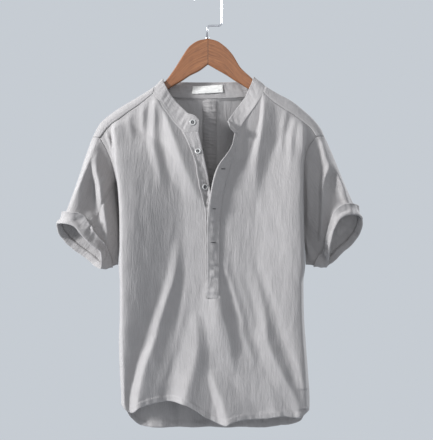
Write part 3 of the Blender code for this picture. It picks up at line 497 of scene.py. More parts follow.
def back_y(x, z):
    depth = hang_depth(below_ridge(x, z), BACK_DEPTH, BACK_OPENS)
    depth = depth * plan_share(x, z, "back", BACK_SQUARE)
    relief = creased(BACK_CREASES, x, z) + crinkled(x, z, 11)
    down, inward = fading(x, z, "back")
    return np.maximum(SIDE_EDGE, depth + relief * down * inward)


def hemmed(x, above_hem):
    """The turned hem stands a little proud, and its stitching puckers it."""
    proud = 1.1 * eased((HEM_TURN + 1.5 - above_hem) / 2.0)
    pucker = 1.1 * ruffled(x + 0.2 * above_hem, above_hem, 7.5, 18.0, 15)
    return proud + pucker * eased((HEM_TURN + 9.0 - above_hem) / 10.0)


def column_share(column, columns):
    """Share of the way in from a side line: closer together near the side."""
    even = column / columns
    return 0.6 * even + 0.4 * (1.0 - np.cos(0.5 * np.pi * even))


def flat_lay(places):
    """The cut of a grid of places: run along the columns and down the rows."""
    down = run_along(places, 1)
    along = np.linalg.norm(np.diff(places, axis=0), axis=2).mean(axis=1)
    along = np.concatenate(([0.0], np.cumsum(along)))
    return np.stack((np.broadcast_to(along[:, None], down.shape), -down), -1)


def walled(made, wall):
    """Give a thin sheet its cloth's thickness, half on each side."""
    solidify = made.modifiers.new("wall", "SOLIDIFY")
    solidify.thickness = wall * MM
    solidify.offset = 0.0
    return made


def sewn(name, places, cut, wall, opened=None, closed=False):
    """A cloth piece with a wall's thickness through a grid of places, less what is opened."""
    sheet, spots = gridded(places, cut)
    if opened is not None:
        bmesh.ops.delete(sheet, geom=[vert for vert, spot in spots.items() if opened[spot]], context="VERTS")
    if closed:
        bmesh.ops.remove_doubles(sheet, verts=sheet.verts, dist=0.00001)
    return walled(finished(name, sheet, linen), wall)


linen = Finish("crinkled_linen", {
    "Sheen Weight": 0.12, "Sheen Roughness": 0.5, "Specular IOR Level": 0.25,
    "Subsurface Weight": 0.22, "Subsurface Radius": (1.0, 1.0, 1.0), "Subsurface Scale": 0.004,
})
lay = linen.lay()
warp = linen.streaky(lay, (1400.0, 26.0, 1.0), 1.0)
weft = linen.streaky(lay, (26.0, 1400.0, 1.0), 1.0)
slubs = 0.5 * warp + 0.5 * weft
mottle = linen.cloudy(lay, 34.0, 3.0)
tone = 0.62 * slubs + 0.38 * mottle
linen.set("Base Color", linen.ramp(tone, [(0.30, (0.254, 0.240, 0.236)), (0.70, (0.302, 0.285, 0.280))]))
linen.set("Roughness", 0.78 + 0.2 * slubs)
crisp = linen.streaky(lay, (230.0, 34.0, 1.0), 3.0, 0.6)
crimp = linen.streaky(lay, (560.0, 110.0, 1.0), 2.0, 0.55)
calm = linen.streaky(lay, (9.0, 5.0, 1.0), 1.0)
linen.relief((0.66 * crisp + 0.28 * crimp) * (0.45 + 1.1 * calm) + 0.06 * slubs, 0.0017)

tops = []
for side in ("left", "right"):
    rows = np.array(SHOULDERS[side])
    ridge, seam = spread(rows[:, :2], SHOULDER_COLUMNS), spread(rows[:, 2:], SHOULDER_COLUMNS)
    turn = 0.5 * np.pi * np.arange(-WRAP_ROWS, WRAP_ROWS + 1) / WRAP_ROWS
    seam_depth = hang_depth(below_ridge(seam[:, 0], seam[:, 1]), FRONT_DEPTH, FRONT_OPENS)
    place = ridge[:, None] + (seam - ridge)[:, None] * (1.0 - np.cos(turn))[None, :, None]
    depth = seam_depth[:, None] * np.sin(turn)
    wrap = np.stack((place[..., 0], depth, place[..., 1]), -1)
    tops.append(wrap if side == "left" else wrap[::-1])
ends = tops[0][-1, -1], tops[1][0, -1]
share = (np.arange(1, BACK_NECK_COLUMNS) / BACK_NECK_COLUMNS)[:, None]
neck = ends[0] + (ends[1] - ends[0]) * share
neck[:, 2] -= 9.0 * np.sin(np.pi * share[:, 0]) ** 0.7
neck = np.repeat(neck[:, None], 2 * WRAP_ROWS + 1, axis=1)
top = np.concatenate((tops[0], neck, tops[1]))
columns = len(top) - 1
back_places = np.zeros((columns + 1, 2 * WRAP_ROWS + 1 + BACK_ROWS, 3))
for column in range(columns + 1):
    start = top[column, -1]
    share = 0.5 * column_share(min(column, columns - column), 0.5 * columns)
    level_left, level_right = side_lines(HEM_LEVEL, "back")
    inset = share if column <= columns // 2 else 1.0 - share
    hem_x = level_left + (level_right - level_left) * inset
    hem_z = curve(*zip(*BACK_HEM), hem_x)
    z = start[2] + (hem_z - start[2]) * np.arange(1, BACK_ROWS + 1) / BACK_ROWS
    left, right = side_lines(z, "back")
    start_left, start_right = side_lines(start[2], "back")
    shift = start[0] - (start_left + (start_right - start_left) * inset)
    x = left + (right - left) * inset + shift * (1.0 - eased((start[2] - z) / SETTLES_IN))
    back_places[column, :2 * WRAP_ROWS + 1] = top[column]
    back_places[column, 2 * WRAP_ROWS + 1:] = np.stack((x, back_y(x, z) - hemmed(x, z - hem_z), z), -1)
numbers = np.arange(columns + 1)
in_neck = (numbers > SHOULDER_COLUMNS) & (numbers < columns - SHOULDER_COLUMNS)
above = np.arange(back_places.shape[1]) < 2 * WRAP_ROWS
back_cut = flat_lay(back_places)
back_cut[..., 0] = back_places[..., 0]
back = sewn("back_panel", back_places, back_cut, CLOTH, opened=in_neck[:, None] & above[None])
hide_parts("back")


# ------------------------------------------------------------------------------ pleat strip
# A strip of the same linen pressed flat and tacked inside the back, over the pleat. Small
# puckers run across it where the tacking pulls.
PLEAT_LEFT = -11.0
PLEAT_RIGHT = 17.5
PLEAT_TOP = -233.0
PLEAT_BOTTOM = -470.0

x = np.linspace(PLEAT_LEFT, PLEAT_RIGHT, 17)[:, None]
z = np.linspace(PLEAT_TOP, PLEAT_BOTTOM, 201)[None]
x, z = np.broadcast_arrays(x, z)
pucker = 1.6 * ruffled(z, x, 5.0, 40.0, 21) + 0.8 * ruffled(z + 0.4 * x, x, 3.0, 22.0, 22)
y = back_y(x, z) - 1.0 - np.abs(pucker)
places = np.stack((x, y, z), -1)
strip = sewn("pleat_strip", places, flat_lay(places), CLOTH)
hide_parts("back_strip")


# ------------------------------------------------------------------------------ front panel
# One piece of the same linen, cut open down the middle to the placket's end and sewn to the back
# along the shoulder seams and sides. It falls in fans of soft folds from the neck and placket.
NECK_COLUMNS = 36
BRIDGE_COLUMNS = 10
PLACKET_ROWS = 170
SKIRT_ROWS = 104
PLACKET_END_Z = -645.0
FRONT_SQUARE = 7.0
FRONT_SINK = 14.0
SEAM = 0.3
NECKLINES = {
    "left": [(-114.0, -220.0), (-92.0, -252.0), (-71.5, -280.0), (-50.0, -303.0)],
    "right": [(116.0, -219.0), (98.5, -248.0), (80.5, -272.0), (60.0, -306.0)],
}
# The slit from its foot up: z, stitched edges, free edges, and how far the right strip turns back.
# STITCHED, FREE and TURNED are the numbers of the table's columns.
STITCHED = {"left": 1, "right": 2}
FREE = {"left": 3, "right": 4}
TURNED = 5
SLIT = np.array([
    (-645.0, -2.6, 22.0, 21.6, -2.2, -2.0), (-620.0, -2.6, 22.0, 21.6, -2.2, -4.5),
    (-500.0, -2.6, 23.0, 22.0, -2.0, -5.0), (-470.0, -3.5, 24.5, 16.5, 0.0, -6.0),
    (-444.0, -8.0, 28.0, 9.0, 3.5, -7.5),
    (-417.0, -15.0, 33.0, 4.0, 8.0, -7.0), (-395.0, -19.0, 39.0, 1.0, 13.0, -8.0),
    (-372.0, -22.5, 45.5, -4.0, 22.0, -8.0), (-350.0, -29.0, 52.5, -8.5, 38.5, -6.0),
    (-330.0, -37.0, 57.5, -13.0, 50.0, -3.0), (-303.0, -50.0, 61.5, -19.0, 55.5, 0.0),
])
FRONT_HEM = [
    (-182.0, -866.0), (-158.0, -883.0), (-139.0, -870.0), (-108.0, -861.0), (-78.0, -858.0),
    (-47.0, -864.0), (-26.0, -875.0), (-6.0, -890.0), (15.0, -901.0), (35.0, -907.0), (50.0, -900.0),
    (76.0, -895.0), (117.0, -894.0), (157.0, -889.0), (185.0, -893.0), (212.0, -878.0),
]
FRONT_CREASES = {
    "left edge": [
        (-196, -278, 4, 6, 29), (-194, -302, 20, 6, 53), (-190, -331, 37, 8, 90),
        (-187, -366, 45, 8, 109), (-184, -407, 47, 8, 117), (-180, -464, 46, 10, 119),
        (-176, -526, 45, 10, 117), (-175, -587, 43, 10, 109), (-175, -649, 39, 10, 94),
        (-175, -700, 32, 10, 72), (-175, -747, 24, 10, 45), (-174, -792, 19, 10, 27),
        (-174, -837, 12, 10, 16), (-172, -885, 5, 8, 12), (-172, -915, 4, 8, 12),
    ],
    "centre swell": [
        (-4, -341, 0, 41, 20), (0, -413, 3, 82, 23), (6, -475, 5, 102, 25), (8, -546, 6, 102, 25),
        (11, -618, 7, 90, 27), (17, -669, 8, 74, 29), (23, -721, 5, 53, 29), (29, -772, 0, 41, 25),
    ],
    "fan 1": [
        (-59, -522, 0, 12, 16), (-63, -557, 4, 16, 16), (-67, -587, 8, 16, 18),
        (-73, -614, 10, 16, 20), (-84, -649, 12, 16, 23), (-98, -694, 14, 18, 29),
        (-112, -741, 16, 18, 37), (-125, -776, 17, 18, 45), (-135, -813, 17, 18, 47),
        (-142, -854, 15, 18, 43), (-149, -905, 11, 16, 33),
    ],
    "fan 2": [
        (-41, -571, 0, 12, 12), (-43, -618, 1, 16, 12), (-51, -673, 1.5, 18, 12),
        (-65, -735, 2, 18, 12), (-82, -788, 2, 16, 12), (-98, -837, 0, 16, 12),
    ],
    "fan 3": [
        (-20, -673, 0, 20, 12), (-22, -706, 4, 29, 16), (-21, -741, 8, 35, 20),
        (-26, -772, 10, 35, 25), (-33, -803, 12, 33, 31), (-41, -829, 15, 29, 41),
        (-47, -858, 17, 23, 51), (-51, -915, 17, 20, 55),
    ],
    "placket foot, right": [
        (15, -571, 0, 16, 16), (20, -598, 3, 20, 18), (22, -624, 6, 29, 23), (24, -649, 9, 35, 27),
        (29, -680, 11, 41, 29), (38, -710, 11, 45, 29), (44, -741, 9, 41, 25), (49, -772, 5, 31, 18),
        (56, -805, 0, 20, 16),
    ],
    "fan 5": [
        (9, -792, 0, 10, 12), (14, -817, 6, 12, 29), (23, -842, 11, 14, 41), (33, -868, 15, 16, 57),
        (39, -895, 17, 16, 61), (41, -919, 17, 16, 61),
    ],
    "fan 6": [
        (33, -563, 0, 8, 10), (42, -596, 3, 8, 12), (56, -639, 4, 8, 14), (68, -682, 4.5, 10, 14),
        (74, -721, 3.5, 10, 12), (87, -755, 2.5, 10, 12), (99, -792, 0, 10, 12),
    ],
    "fan 6b": [
        (58, -583, 0, 10, 10), (72, -628, 1.5, 10, 10), (87, -673, 1.5, 10, 10),
        (103, -721, 1.5, 10, 10), (115, -755, 0, 10, 10),
    ],
    "fan 7": [
        (91, -571, 0, 12, 12), (103, -612, 2, 16, 12), (113, -653, 5, 18, 16), (119, -694, 8, 20, 23),
        (121, -727, 10, 20, 27), (129, -751, 11, 20, 29), (140, -774, 11, 23, 29),
        (150, -794, 11, 25, 27), (160, -815, 10, 25, 23), (173, -837, 8, 25, 18),
        (185, -862, 5, 23, 16), (197, -895, 3, 20, 14),
    ],
    "fan 8": [
        (109, -546, 0, 16, 41), (117, -575, 2, 16, 49), (128, -608, 4, 18, 57), (142, -649, 5, 20, 61),
        (157, -690, 6, 23, 53), (171, -731, 7, 23, 49), (183, -768, 8, 23, 41), (192, -803, 8, 20, 25),
        (199, -837, 7, 16, 12), (203, -874, 6, 14, 8),
    ],
    "hem right": [
        (123, -796, 0, 20, 16), (132, -837, 2, 20, 20), (140, -885, 3, 20, 20), (142, -915, 3, 20, 20),
    ],
    "hem far right": [(175, -813, 0, 10, 10), (183, -850, 2, 12, 10), (189, -891, 3, 12, 10)],
    "hem left, low": [
        (-77, -821, 0, 16, 16), (-86, -846, -4, 16, 25), (-90, -878, -6, 16, 29),
        (-92, -915, -6, 16, 29),
    ],
    "corner flap": [
        (-166, -833, 0, 6, 10), (-165, -854, -4, 8, 12), (-161, -874, -6, 10, 16),
        (-157, -903, -6, 10, 16),
    ],
    "armhole 1": [
        (-210, -298, 0, 6, 4), (-207, -313, 4, 6, 4), (-201, -333, 6, 6, 4), (-196, -352, 4, 6, 4),
        (-192, -368, 0, 6, 4),
    ],
    "armhole 2": [
        (-219, -311, 0, 5, 5), (-215, -325, 4, 5, 5), (-209, -341, 5, 5, 5), (-203, -358, 3, 5, 5),
        (-198, -378, 0, 5, 5),
    ],
    "shoulder a": [
        (-161, -259, 0, 8, 8), (-164, -276, 2.5, 8, 8), (-160, -300, 2.5, 8, 8), (-157, -325, 0, 8, 8),
    ],
    "shoulder b": [
        (-135, -235, 1, 8, 10), (-136, -259, 4, 8, 10), (-135, -284, 3.5, 8, 10),
        (-129, -321, 0, 8, 10),
    ],
    "neck 1": [
        (-112, -218, 2, 8, 8), (-110, -239, 6, 10, 12), (-111, -276, 8, 14, 16),
        (-113, -317, 8, 14, 20), (-108, -346, 7, 14, 18), (-100, -382, 4, 12, 16),
        (-94, -428, 0, 12, 16),
    ],
    "neck 2": [
        (-106, -235, 2, 8, 8), (-96, -251, 6, 10, 14), (-85, -276, 9, 16, 16), (-73, -309, 12, 23, 20),
        (-61, -341, 14, 29, 27), (-49, -374, 14, 33, 29), (-36, -403, 11, 31, 27),
        (-24, -430, 6, 27, 20), (-10, -460, 0, 25, 16),
    ],
    "neck right 1": [
        (68, -247, 2, 6, 12), (58, -276, 7, 6, 18), (51, -313, 11, 6, 23), (39, -346, 13, 8, 25),
        (23, -372, 12, 8, 29), (13, -403, 10, 8, 31), (7, -436, 7, 8, 27), (3, -473, 3, 8, 23),
        (0, -516, 0, 8, 20),
    ],
    "neck right 2": [
        (119, -210, 2, 4, 10), (117, -235, 6, 5, 18), (114, -272, 10, 6, 27), (110, -305, 11, 8, 29),
        (104, -337, 10, 12, 27), (101, -368, 9, 23, 25), (99, -403, 5, 31, 23), (95, -456, 0, 29, 20),
    ],
    "right sh 1": [
        (164, -247, 0, 8, 8), (162, -264, 3, 8, 8), (157, -290, 3, 8, 8), (152, -331, 2, 8, 8),
        (146, -372, 0, 8, 8),
    ],
    "right sh 2": [
        (183, -268, 0, 10, 8), (179, -284, 4, 10, 8), (174, -311, 4, 10, 8), (171, -352, 2, 10, 8),
        (169, -399, 0, 10, 8),
    ],
    "right edge": [
        (191, -272, 0, 10, 6), (197, -296, 9, 29, 8), (197, -341, 18, 57, 8), (197, -403, 24, 78, 8),
        (198, -464, 27, 94, 8), (198, -536, 27, 94, 10), (197, -598, 25, 82, 10),
        (196, -649, 21, 66, 10), (196, -690, 17, 53, 10), (197, -731, 13, 39, 8),
        (201, -782, 9, 27, 8), (203, -833, 4, 18, 8),
    ],
}


def front_y(x, z):
    depth = hang_depth(below_ridge(x, z), FRONT_DEPTH, FRONT_OPENS)
    depth = depth * plan_share(x, z, "front", FRONT_SQUARE)
    relief = creased(FRONT_CREASES, x, z) + crinkled(x, z, 31)
    down, inward = fading(x, z, "front")
    settled = eased((below_ridge(x, z) - 15.0) / 80.0)
    return -np.maximum(SIDE_EDGE, depth + relief * inward * down - FRONT_SINK * settled)


def slit(column, z):
    return curve(SLIT[:, 0], SLIT[:, column], z)


halves = {}
for number, side in enumerate(("left", "right")):
    rows = np.array(SHOULDERS[side])
    seam = spread(rows[:, 2:], SHOULDER_COLUMNS)
    upper = np.concatenate((seam, spread(NECKLINES[side], NECK_COLUMNS)[1:]))
    count = len(upper) - 1
    half = np.zeros((count + 1, PLACKET_ROWS + SKIRT_ROWS + 1, 3))
    for column in range(count + 1):
        share = column_share(column, count)

        def lined_x(z):
            edge = side_lines(z, "front")[number]
            return edge + (slit(STITCHED[side], z) - edge) * share

        top_x, top_z = upper[column]
        top_z = top_z - (SEAM if column <= SHOULDER_COLUMNS else 0.0)
        hem_z = curve(*zip(*FRONT_HEM), lined_x(HEM_LEVEL))
        z = np.concatenate((
            np.linspace(top_z, PLACKET_END_Z, PLACKET_ROWS + 1),
            np.linspace(PLACKET_END_Z, hem_z, SKIRT_ROWS + 1)[1:],
        ))
        x = lined_x(z) + (top_x - lined_x(top_z)) * (1.0 - eased((top_z - z) / SETTLES_IN))
        half[column] = np.stack((x, front_y(x, z) - hemmed(x, z - hem_z), z), -1)
    halves[side] = half
share = (np.arange(1, BRIDGE_COLUMNS) / BRIDGE_COLUMNS)[:, None, None]
bridge = halves["left"][-1] + (halves["right"][-1] - halves["left"][-1]) * share
above_hem = bridge[..., 2] - bridge[:, -1:, 2]
bridge[..., 1] = front_y(bridge[..., 0], bridge[..., 2]) - hemmed(bridge[..., 0], above_hem)
front_places = np.concatenate((halves["left"], bridge, halves["right"][::-1]))
front_cut = flat_lay(front_places)
front_cut[..., 0] = front_places[..., 0]
numbers = np.arange(len(front_places))
in_slit = (numbers >= len(halves["left"])) & (numbers < len(halves["left"]) + BRIDGE_COLUMNS - 1)
above = np.arange(front_places.shape[1]) < PLACKET_ROWS
front = sewn("front_panel", front_places, front_cut, CLOTH, opened=in_slit[:, None] & above[None])
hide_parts("front")


# ------------------------------------------------------------------------------ placket strips
# Two doubled strips of linen bind the slit. The button strip falls behind; the buttonhole strip
# turns back at the neck and laps over it lower down. Both are topstitched.
DOUBLED = 1.8
STRIP_COLUMNS = 14
BUTTON_STRIP_SINKS = 9.5
STRIP_LAPS = 2.4
STRIP_OFF = 2.1
BOX_FOOT_Z = -624.0
BOX_TOP_Z = -572.0


def strip_y(side, x, z):
    """The strips lie on the front. Where they lap, the button strip sinks behind."""
    stitched = slit(STITCHED[side], z)
    share = (x - stitched) / (slit(FREE[side], z) - stitched)
    surface = front_y(x, z)
    if side == "left":
        lapped = eased((-400.0 - z) / 70.0)
        return surface + BUTTON_STRIP_SINKS * share * lapped + 3.0 * share * (1.0 - lapped)
    return surface + slit(TURNED, z) * share


strips = {}
for side, inward, name in (("left", 1.0, "button_strip"), ("right", -1.0, "buttonhole_strip")):
    edge = halves[side][-1, :PLACKET_ROWS + 1]
    z = np.broadcast_to(edge[:, 2], (STRIP_COLUMNS + 1, PLACKET_ROWS + 1))
    start = edge[:, 0] - inward * STRIP_LAPS
    free = slit(FREE[side], edge[:, 2])
    share = np.linspace(0.0, 1.0, STRIP_COLUMNS + 1)[:, None]
    x = start + (free - start) * share
    rim = 0.5 * np.exp(-((share - 0.9) / 0.07) ** 2) + 0.4 * np.exp(-((share - 0.1) / 0.07) ** 2)
    boxed = eased((BOX_TOP_Z + 6.0 - z) / 12.0) * eased((z - BOX_FOOT_Z + 6.0) / 12.0)
    pucker = (1.5 + 0.9 * boxed) * ruffled(z + 0.3 * x, x, 6.0, 14.0, 41) * (1.0 - np.abs(2.0 * share - 1.0))
    raised = eased((z - PLACKET_END_Z - 3.0) / 12.0)
    y = strip_y(side, x, z) + 0.6 - (STRIP_OFF + rim + pucker) * raised
    strips[side] = np.stack((x, y, z), -1)
    made = sewn(name, strips[side], flat_lay(strips[side]), DOUBLED)
    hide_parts("placket_" + side)


# ------------------------------------------------------------------------------ neck band
# A doubled band of linen stands round the neckline, cut on the straight, so it puckers where it
# is eased onto the curve. Its ends are rounded and left unbuttoned.
BAND_ROWS = 18
BAND_STEPS = 320
BAND_TUCK = 0.07
BAND_OFF = 1.6
BAND_HIGH = 33.0
# How far the neckline is evened out along each axis, and over how many steps each way.
BAND_SMOOTH = (2.5, 9.0, 2.5)
BAND_TAPS = 30
# Stations round the neck: 0 left end, 1 left slit, 2 left shoulder seam, 3 left ridge, 4 behind
# it, 5 centre back, and on to 10 at the right end. How the upper edge stands off the neckline.
BAND_RISE = np.array([
    (0.0, 1.5, 1.0, 23.0), (0.4, 5.0, 2.0, 33.0), (1.0, 10.0, 4.0, 37.0), (1.5, 10.0, 8.0, 33.0),
    (2.0, 19.0, 4.0, 24.0), (3.0, 17.0, 0.0, 16.0), (4.0, 18.0, 0.0, 25.0), (4.4, 6.0, 4.0, 31.0),
    (5.0, 0.0, 3.0, 33.0), (5.6, -6.0, 4.0, 31.0), (6.0, -20.0, 0.0, 26.0), (7.0, -23.0, 0.0, 19.0),
    (8.0, -22.0, 6.0, 24.0), (8.5, -17.0, 14.0, 22.0), (9.0, -19.0, 4.0, 24.0),
    (9.5, -15.0, -8.0, 20.0), (10.0, -9.0, -10.0, 12.0),
])

columns = len(back_places) - 1
left_wrap = back_places[SHOULDER_COLUMNS, :2 * WRAP_ROWS + 1]
right_wrap = back_places[columns - SHOULDER_COLUMNS, :2 * WRAP_ROWS + 1]
behind = back_places[SHOULDER_COLUMNS:columns - SHOULDER_COLUMNS + 1, 2 * WRAP_ROWS]
runs = [
    (strips["left"][::-1, 0], 0.0, 1.0), (halves["left"][:SHOULDER_COLUMNS:-1, 0][1:-1], 1.1, 1.9),
    (left_wrap, 2.0, 4.0), (behind[1:-1], 4.2, 5.8), (right_wrap[::-1], 6.0, 8.0),
    (halves["right"][SHOULDER_COLUMNS:, 0][1:-1], 8.1, 8.9), (strips["right"][:, 0], 9.0, 10.0),
]
edge = np.concatenate([points for points, _, _ in runs])
stations = np.concatenate([np.linspace(first, last, len(points)) for points, first, last in runs])
run = run_along(edge)
kept = np.concatenate(([True], np.diff(run) > 0.2))
edge, stations, run = edge[kept], stations[kept], run[kept]
at = np.linspace(0.0, run[-1], BAND_STEPS + 1)
band_edge = curves(run, edge, at)
spacing = run[-1] / BAND_STEPS
for axis, reach in enumerate(BAND_SMOOTH):
    taps = np.arange(-BAND_TAPS, BAND_TAPS + 1)
    weights = np.exp(-0.5 * (taps * spacing / reach) ** 2)
    line = band_edge[:, axis]
    before = 2.0 * line[0] - line[BAND_TAPS:0:-1]
    after = 2.0 * line[-1] - line[-2:-BAND_TAPS - 2:-1]
    padded = np.concatenate((before, line, after))
    band_edge[:, axis] = np.convolve(padded, weights / weights.sum(), mode="valid")
band_station = curve(run, stations, at)
rise = curves(BAND_RISE[:, 0], BAND_RISE[:, 1:], band_station)
share = np.linspace(-BAND_TUCK, 1.0, BAND_ROWS + 1)
lift = rise / np.linalg.norm(rise, axis=1, keepdims=True)
band_places = band_edge[:, None] + lift[:, None] * BAND_OFF + rise[:, None] * share[None, :, None]
along = np.gradient(band_edge, axis=0)
outward = np.cross(along, rise)
outward /= np.linalg.norm(outward, axis=1, keepdims=True)
level = 30.0 * share + 0.0 * at[:, None]
pucker = 1.1 * ruffled(at[:, None] + 14.0 * share, level, 8.0, 30.0, 51)
pucker += 0.6 * ruffled(at[:, None] + 9.0 * share, level, 4.6, 24.0, 52)
pucker *= np.sin(np.pi * np.clip(share, 0.0, 1.0))[None]
band_places += outward[:, None] * pucker[..., None]
band_cut = np.stack(np.broadcast_arrays(at[:, None], BAND_HIGH * share[None]), -1)[..., ::-1]
band = sewn("neck_band", band_places, band_cut, DOUBLED)
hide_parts("collar_band")


# ------------------------------------------------------------------------------ label
# A short blank ribbon of white woven tape, tacked inside the band at the centre of the back.
LABEL_STARTS = 4.745
LABEL_REACHES = 0.485
LABEL_THICK = 0.7

white = Finish("white_woven_tape", {"Sheen Weight": 0.1, "Specular IOR Level": 0.3})
lay = white.lay()
ribs = white.node("ShaderNodeTexWave", {"bands_direction": "DIAGONAL"}, {
    "Vector": lay, "Scale": 900.0, "Distortion": 0.6})
dust = white.cloudy(lay, 160.0, 2.0)
white.set("Base Color", white.ramp(0.5 * ribs + 0.5 * dust, [
    (0.2, (0.62, 0.60, 0.57)), (0.8, (0.76, 0.74, 0.71)),
]))
white.set("Roughness", 0.7 + 0.2 * dust)
white.relief(ribs, 0.00015)

lengths = np.linspace(0.0, 1.0, 41)
heights = np.linspace(0.0, 1.0, 11)
station = LABEL_STARTS + LABEL_REACHES * lengths
inner = curves(band_station, band_edge, station)
label_rise = curves(BAND_RISE[:, 0], BAND_RISE[:, 1:], station)
tilt = 0.10 * (lengths - 0.5)
height = 0.33 + tilt[:, None] + 0.50 * heights[None]
places = inner[:, None] + label_rise[:, None] * height[..., None]
bow = 1.3 * np.sin(np.pi * lengths)[:, None] * np.sin(np.pi * heights)[None]
places[..., 1] -= 2.4 + bow + 0.35 * ruffled(lengths * 60.0, lengths * 0.0, 8.0, 10.0, 61)[:, None]
label_sheet, spots = gridded(places, flat_lay(places))
label = walled(finished("blank_label", label_sheet, white), LABEL_THICK)
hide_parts("label")


# ------------------------------------------------------------------------------ buttons
# Five shell buttons with a rolled rim and a sunken bowl, each sewn on through four holes. The bowl
# and its holes are painted near black as shade. The lowest two lie hidden under the buttonhole strip.
BUTTONS = {
    "button_1": (-20.5, -343.5), "button_2": (-6.0, -417.0),
    "button_3": (8.5, -493.0), "button_4": (9.5, -567.0),
}
# On the neck band: its station round the neck, and the share of the band's height.
COLLAR_BUTTON_AT = (0.48, 0.55)
# Radius and height, from the edge of the bowl's floor over the rim and round to the back.
BUTTON_PROFILE = [
    (3.3, 1.0), (3.9, 1.35), (4.6, 1.75), (5.4, 1.85), (6.0, 1.5), (6.25, 0.95), (6.0, 0.35),
    (5.2, 0.0), (0.0, 0.0),
]
HOLE_WIDE = 1.5
HOLE_DEEP = 0.9
BUTTON_OFF = 0.15
HOLES_APART = 2.6
BUTTON_SIDES = 32

shell = Finish("shell_with_painted_bowl_shade", {"Specular IOR Level": 0.6, "Coat Weight": 0.4, "Coat Roughness": 0.12})
from_centre = shell.node("ShaderNodeVectorMath", {"operation": "LENGTH"}, {0: shell.lay()}, 1)
clouded = shell.streaky(shell.places(), (260.0, 260.0, 900.0), 3.0)
# Painted shade: near black in the sunken bowl out to about 4 mm from the centre; pale shell on the rolled
# rim, a little darker towards its outer edge.
shell.set("Base Color", shell.ramp(from_centre * 100.0 + 0.06 * clouded, [
    (0.30, (0.035, 0.033, 0.034)), (0.40, (0.09, 0.088, 0.088)),
    (0.46, (0.50, 0.49, 0.475)), (0.62, (0.40, 0.39, 0.38)),
]))
shell.set("Roughness", 0.2 + 0.2 * clouded)
shell.relief(clouded, 0.0001)


def facing(place, along_x, along_z):
    """A turn that lays a button's back on a surface at a place, from the surface's two slopes."""
    outward = Vector(np.cross(along_z, along_x)).normalized()
    outward = -outward if outward.y > 0.0 else outward
    return Matrix.Translation(Vector(place) * MM) @ outward.to_track_quat("Z", "Y").to_matrix().to_4x4()


def on_grid(grid, column, row):
    """A place between the points of a grid, and the directions along its columns and rows."""
    c, r = min(int(column), len(grid) - 2), min(int(row), grid.shape[1] - 2)
    a, b = column - c, row - r
    corner = grid[c:c + 2, r:r + 2]
    first = corner[0, 0] * (1 - b) + corner[0, 1] * b
    last = corner[1, 0] * (1 - b) + corner[1, 1] * b
    return first * (1 - a) + last * a, corner[1, 0] - corner[0, 0], corner[0, 1] - corner[0, 0]


def strip_spot(side, x, z):
    """Where x and z fall on a placket strip, as a column and a row of its grid."""
    grid = strips[side]
    row = np.interp(-z, -grid[0, :, 2], np.arange(grid.shape[1]))
    numbers = np.arange(len(grid))
    rising = 1.0 if side == "left" else -1.0
    place = np.array([on_grid(grid, column, row)[0][0] for column in numbers])
    return float(np.interp(rising * x, rising * place, numbers)), float(row)


seats = {}
for name, (x, z) in BUTTONS.items():
    seats[name] = facing(*on_grid(strips["left"], *strip_spot("left", x, z)))
station, share = COLLAR_BUTTON_AT
collar_row = share * BAND_ROWS / (1.0 + BAND_TUCK) + BAND_TUCK * BAND_ROWS
collar_column = float(np.interp(station, band_station, np.arange(BAND_STEPS + 1)))
seats["button_collar"] = facing(*on_grid(band_places, collar_column, collar_row))
for name, seat in seats.items():
    button = bmesh.new()
    outline = [button.verts.new((radius * MM, 0.0, high * MM)) for radius, high in BUTTON_PROFILE]
    run = [button.edges.new(pair) for pair in zip(outline, outline[1:])]
    bmesh.ops.spin(
        button, geom=outline + run, cent=(0, 0, 0), axis=(0, 0, 1), angle=2.0 * math.pi, steps=BUTTON_SIDES
    )
    bowl_radius, bowl_high = BUTTON_PROFILE[0]
    floor_high = Matrix.Translation((0.0, 0.0, bowl_high * MM))
    bmesh.ops.create_circle(button, segments=BUTTON_SIDES, radius=bowl_radius * MM, matrix=floor_high)
    bmesh.ops.remove_doubles(button, verts=button.verts, dist=0.00002)
    lip = [edge for edge in button.edges if len(edge.link_faces) == 1]
    holes = []
    for quarter in range(4):
        turn = 0.5 * math.pi * (quarter + 0.5)
        spot = Vector((math.cos(turn), math.sin(turn), 0.0)) * 0.5 * HOLES_APART * math.sqrt(2.0) * MM
        made = bmesh.ops.create_circle(
            button, segments=10, radius=0.5 * HOLE_WIDE * MM, matrix=floor_high @ Matrix.Translation(spot)
        )["verts"]
        holes += {edge for vert in made for edge in vert.link_edges}
    bmesh.ops.triangle_fill(button, use_beauty=True, edges=lip + holes)
    lowered, floors = far_end(bmesh.ops.extrude_edge_only(button, edges=holes)["geom"])
    bmesh.ops.translate(button, verts=lowered, vec=(0.0, 0.0, -HOLE_DEEP * MM))
    bmesh.ops.holes_fill(button, edges=floors)
    bmesh.ops.recalc_face_normals(button, faces=button.faces)
    layout = button.loops.layers.uv.new("cut")
    for face in button.faces:
        for loop in face.loops:
            loop[layout].uv = loop.vert.co.xy
    bmesh.ops.transform(button, matrix=seat, verts=button.verts)
    off_cloth = seat.to_3x3() @ Vector((0.0, 0.0, 0.5 * DOUBLED + BUTTON_OFF)) * MM
    bmesh.ops.translate(button, verts=button.verts, vec=off_cloth)
    modelled = finished("shell_" + name, button, shell)
    modelled.data.set_sharp_from_angle(angle=0.9)
    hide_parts(name)


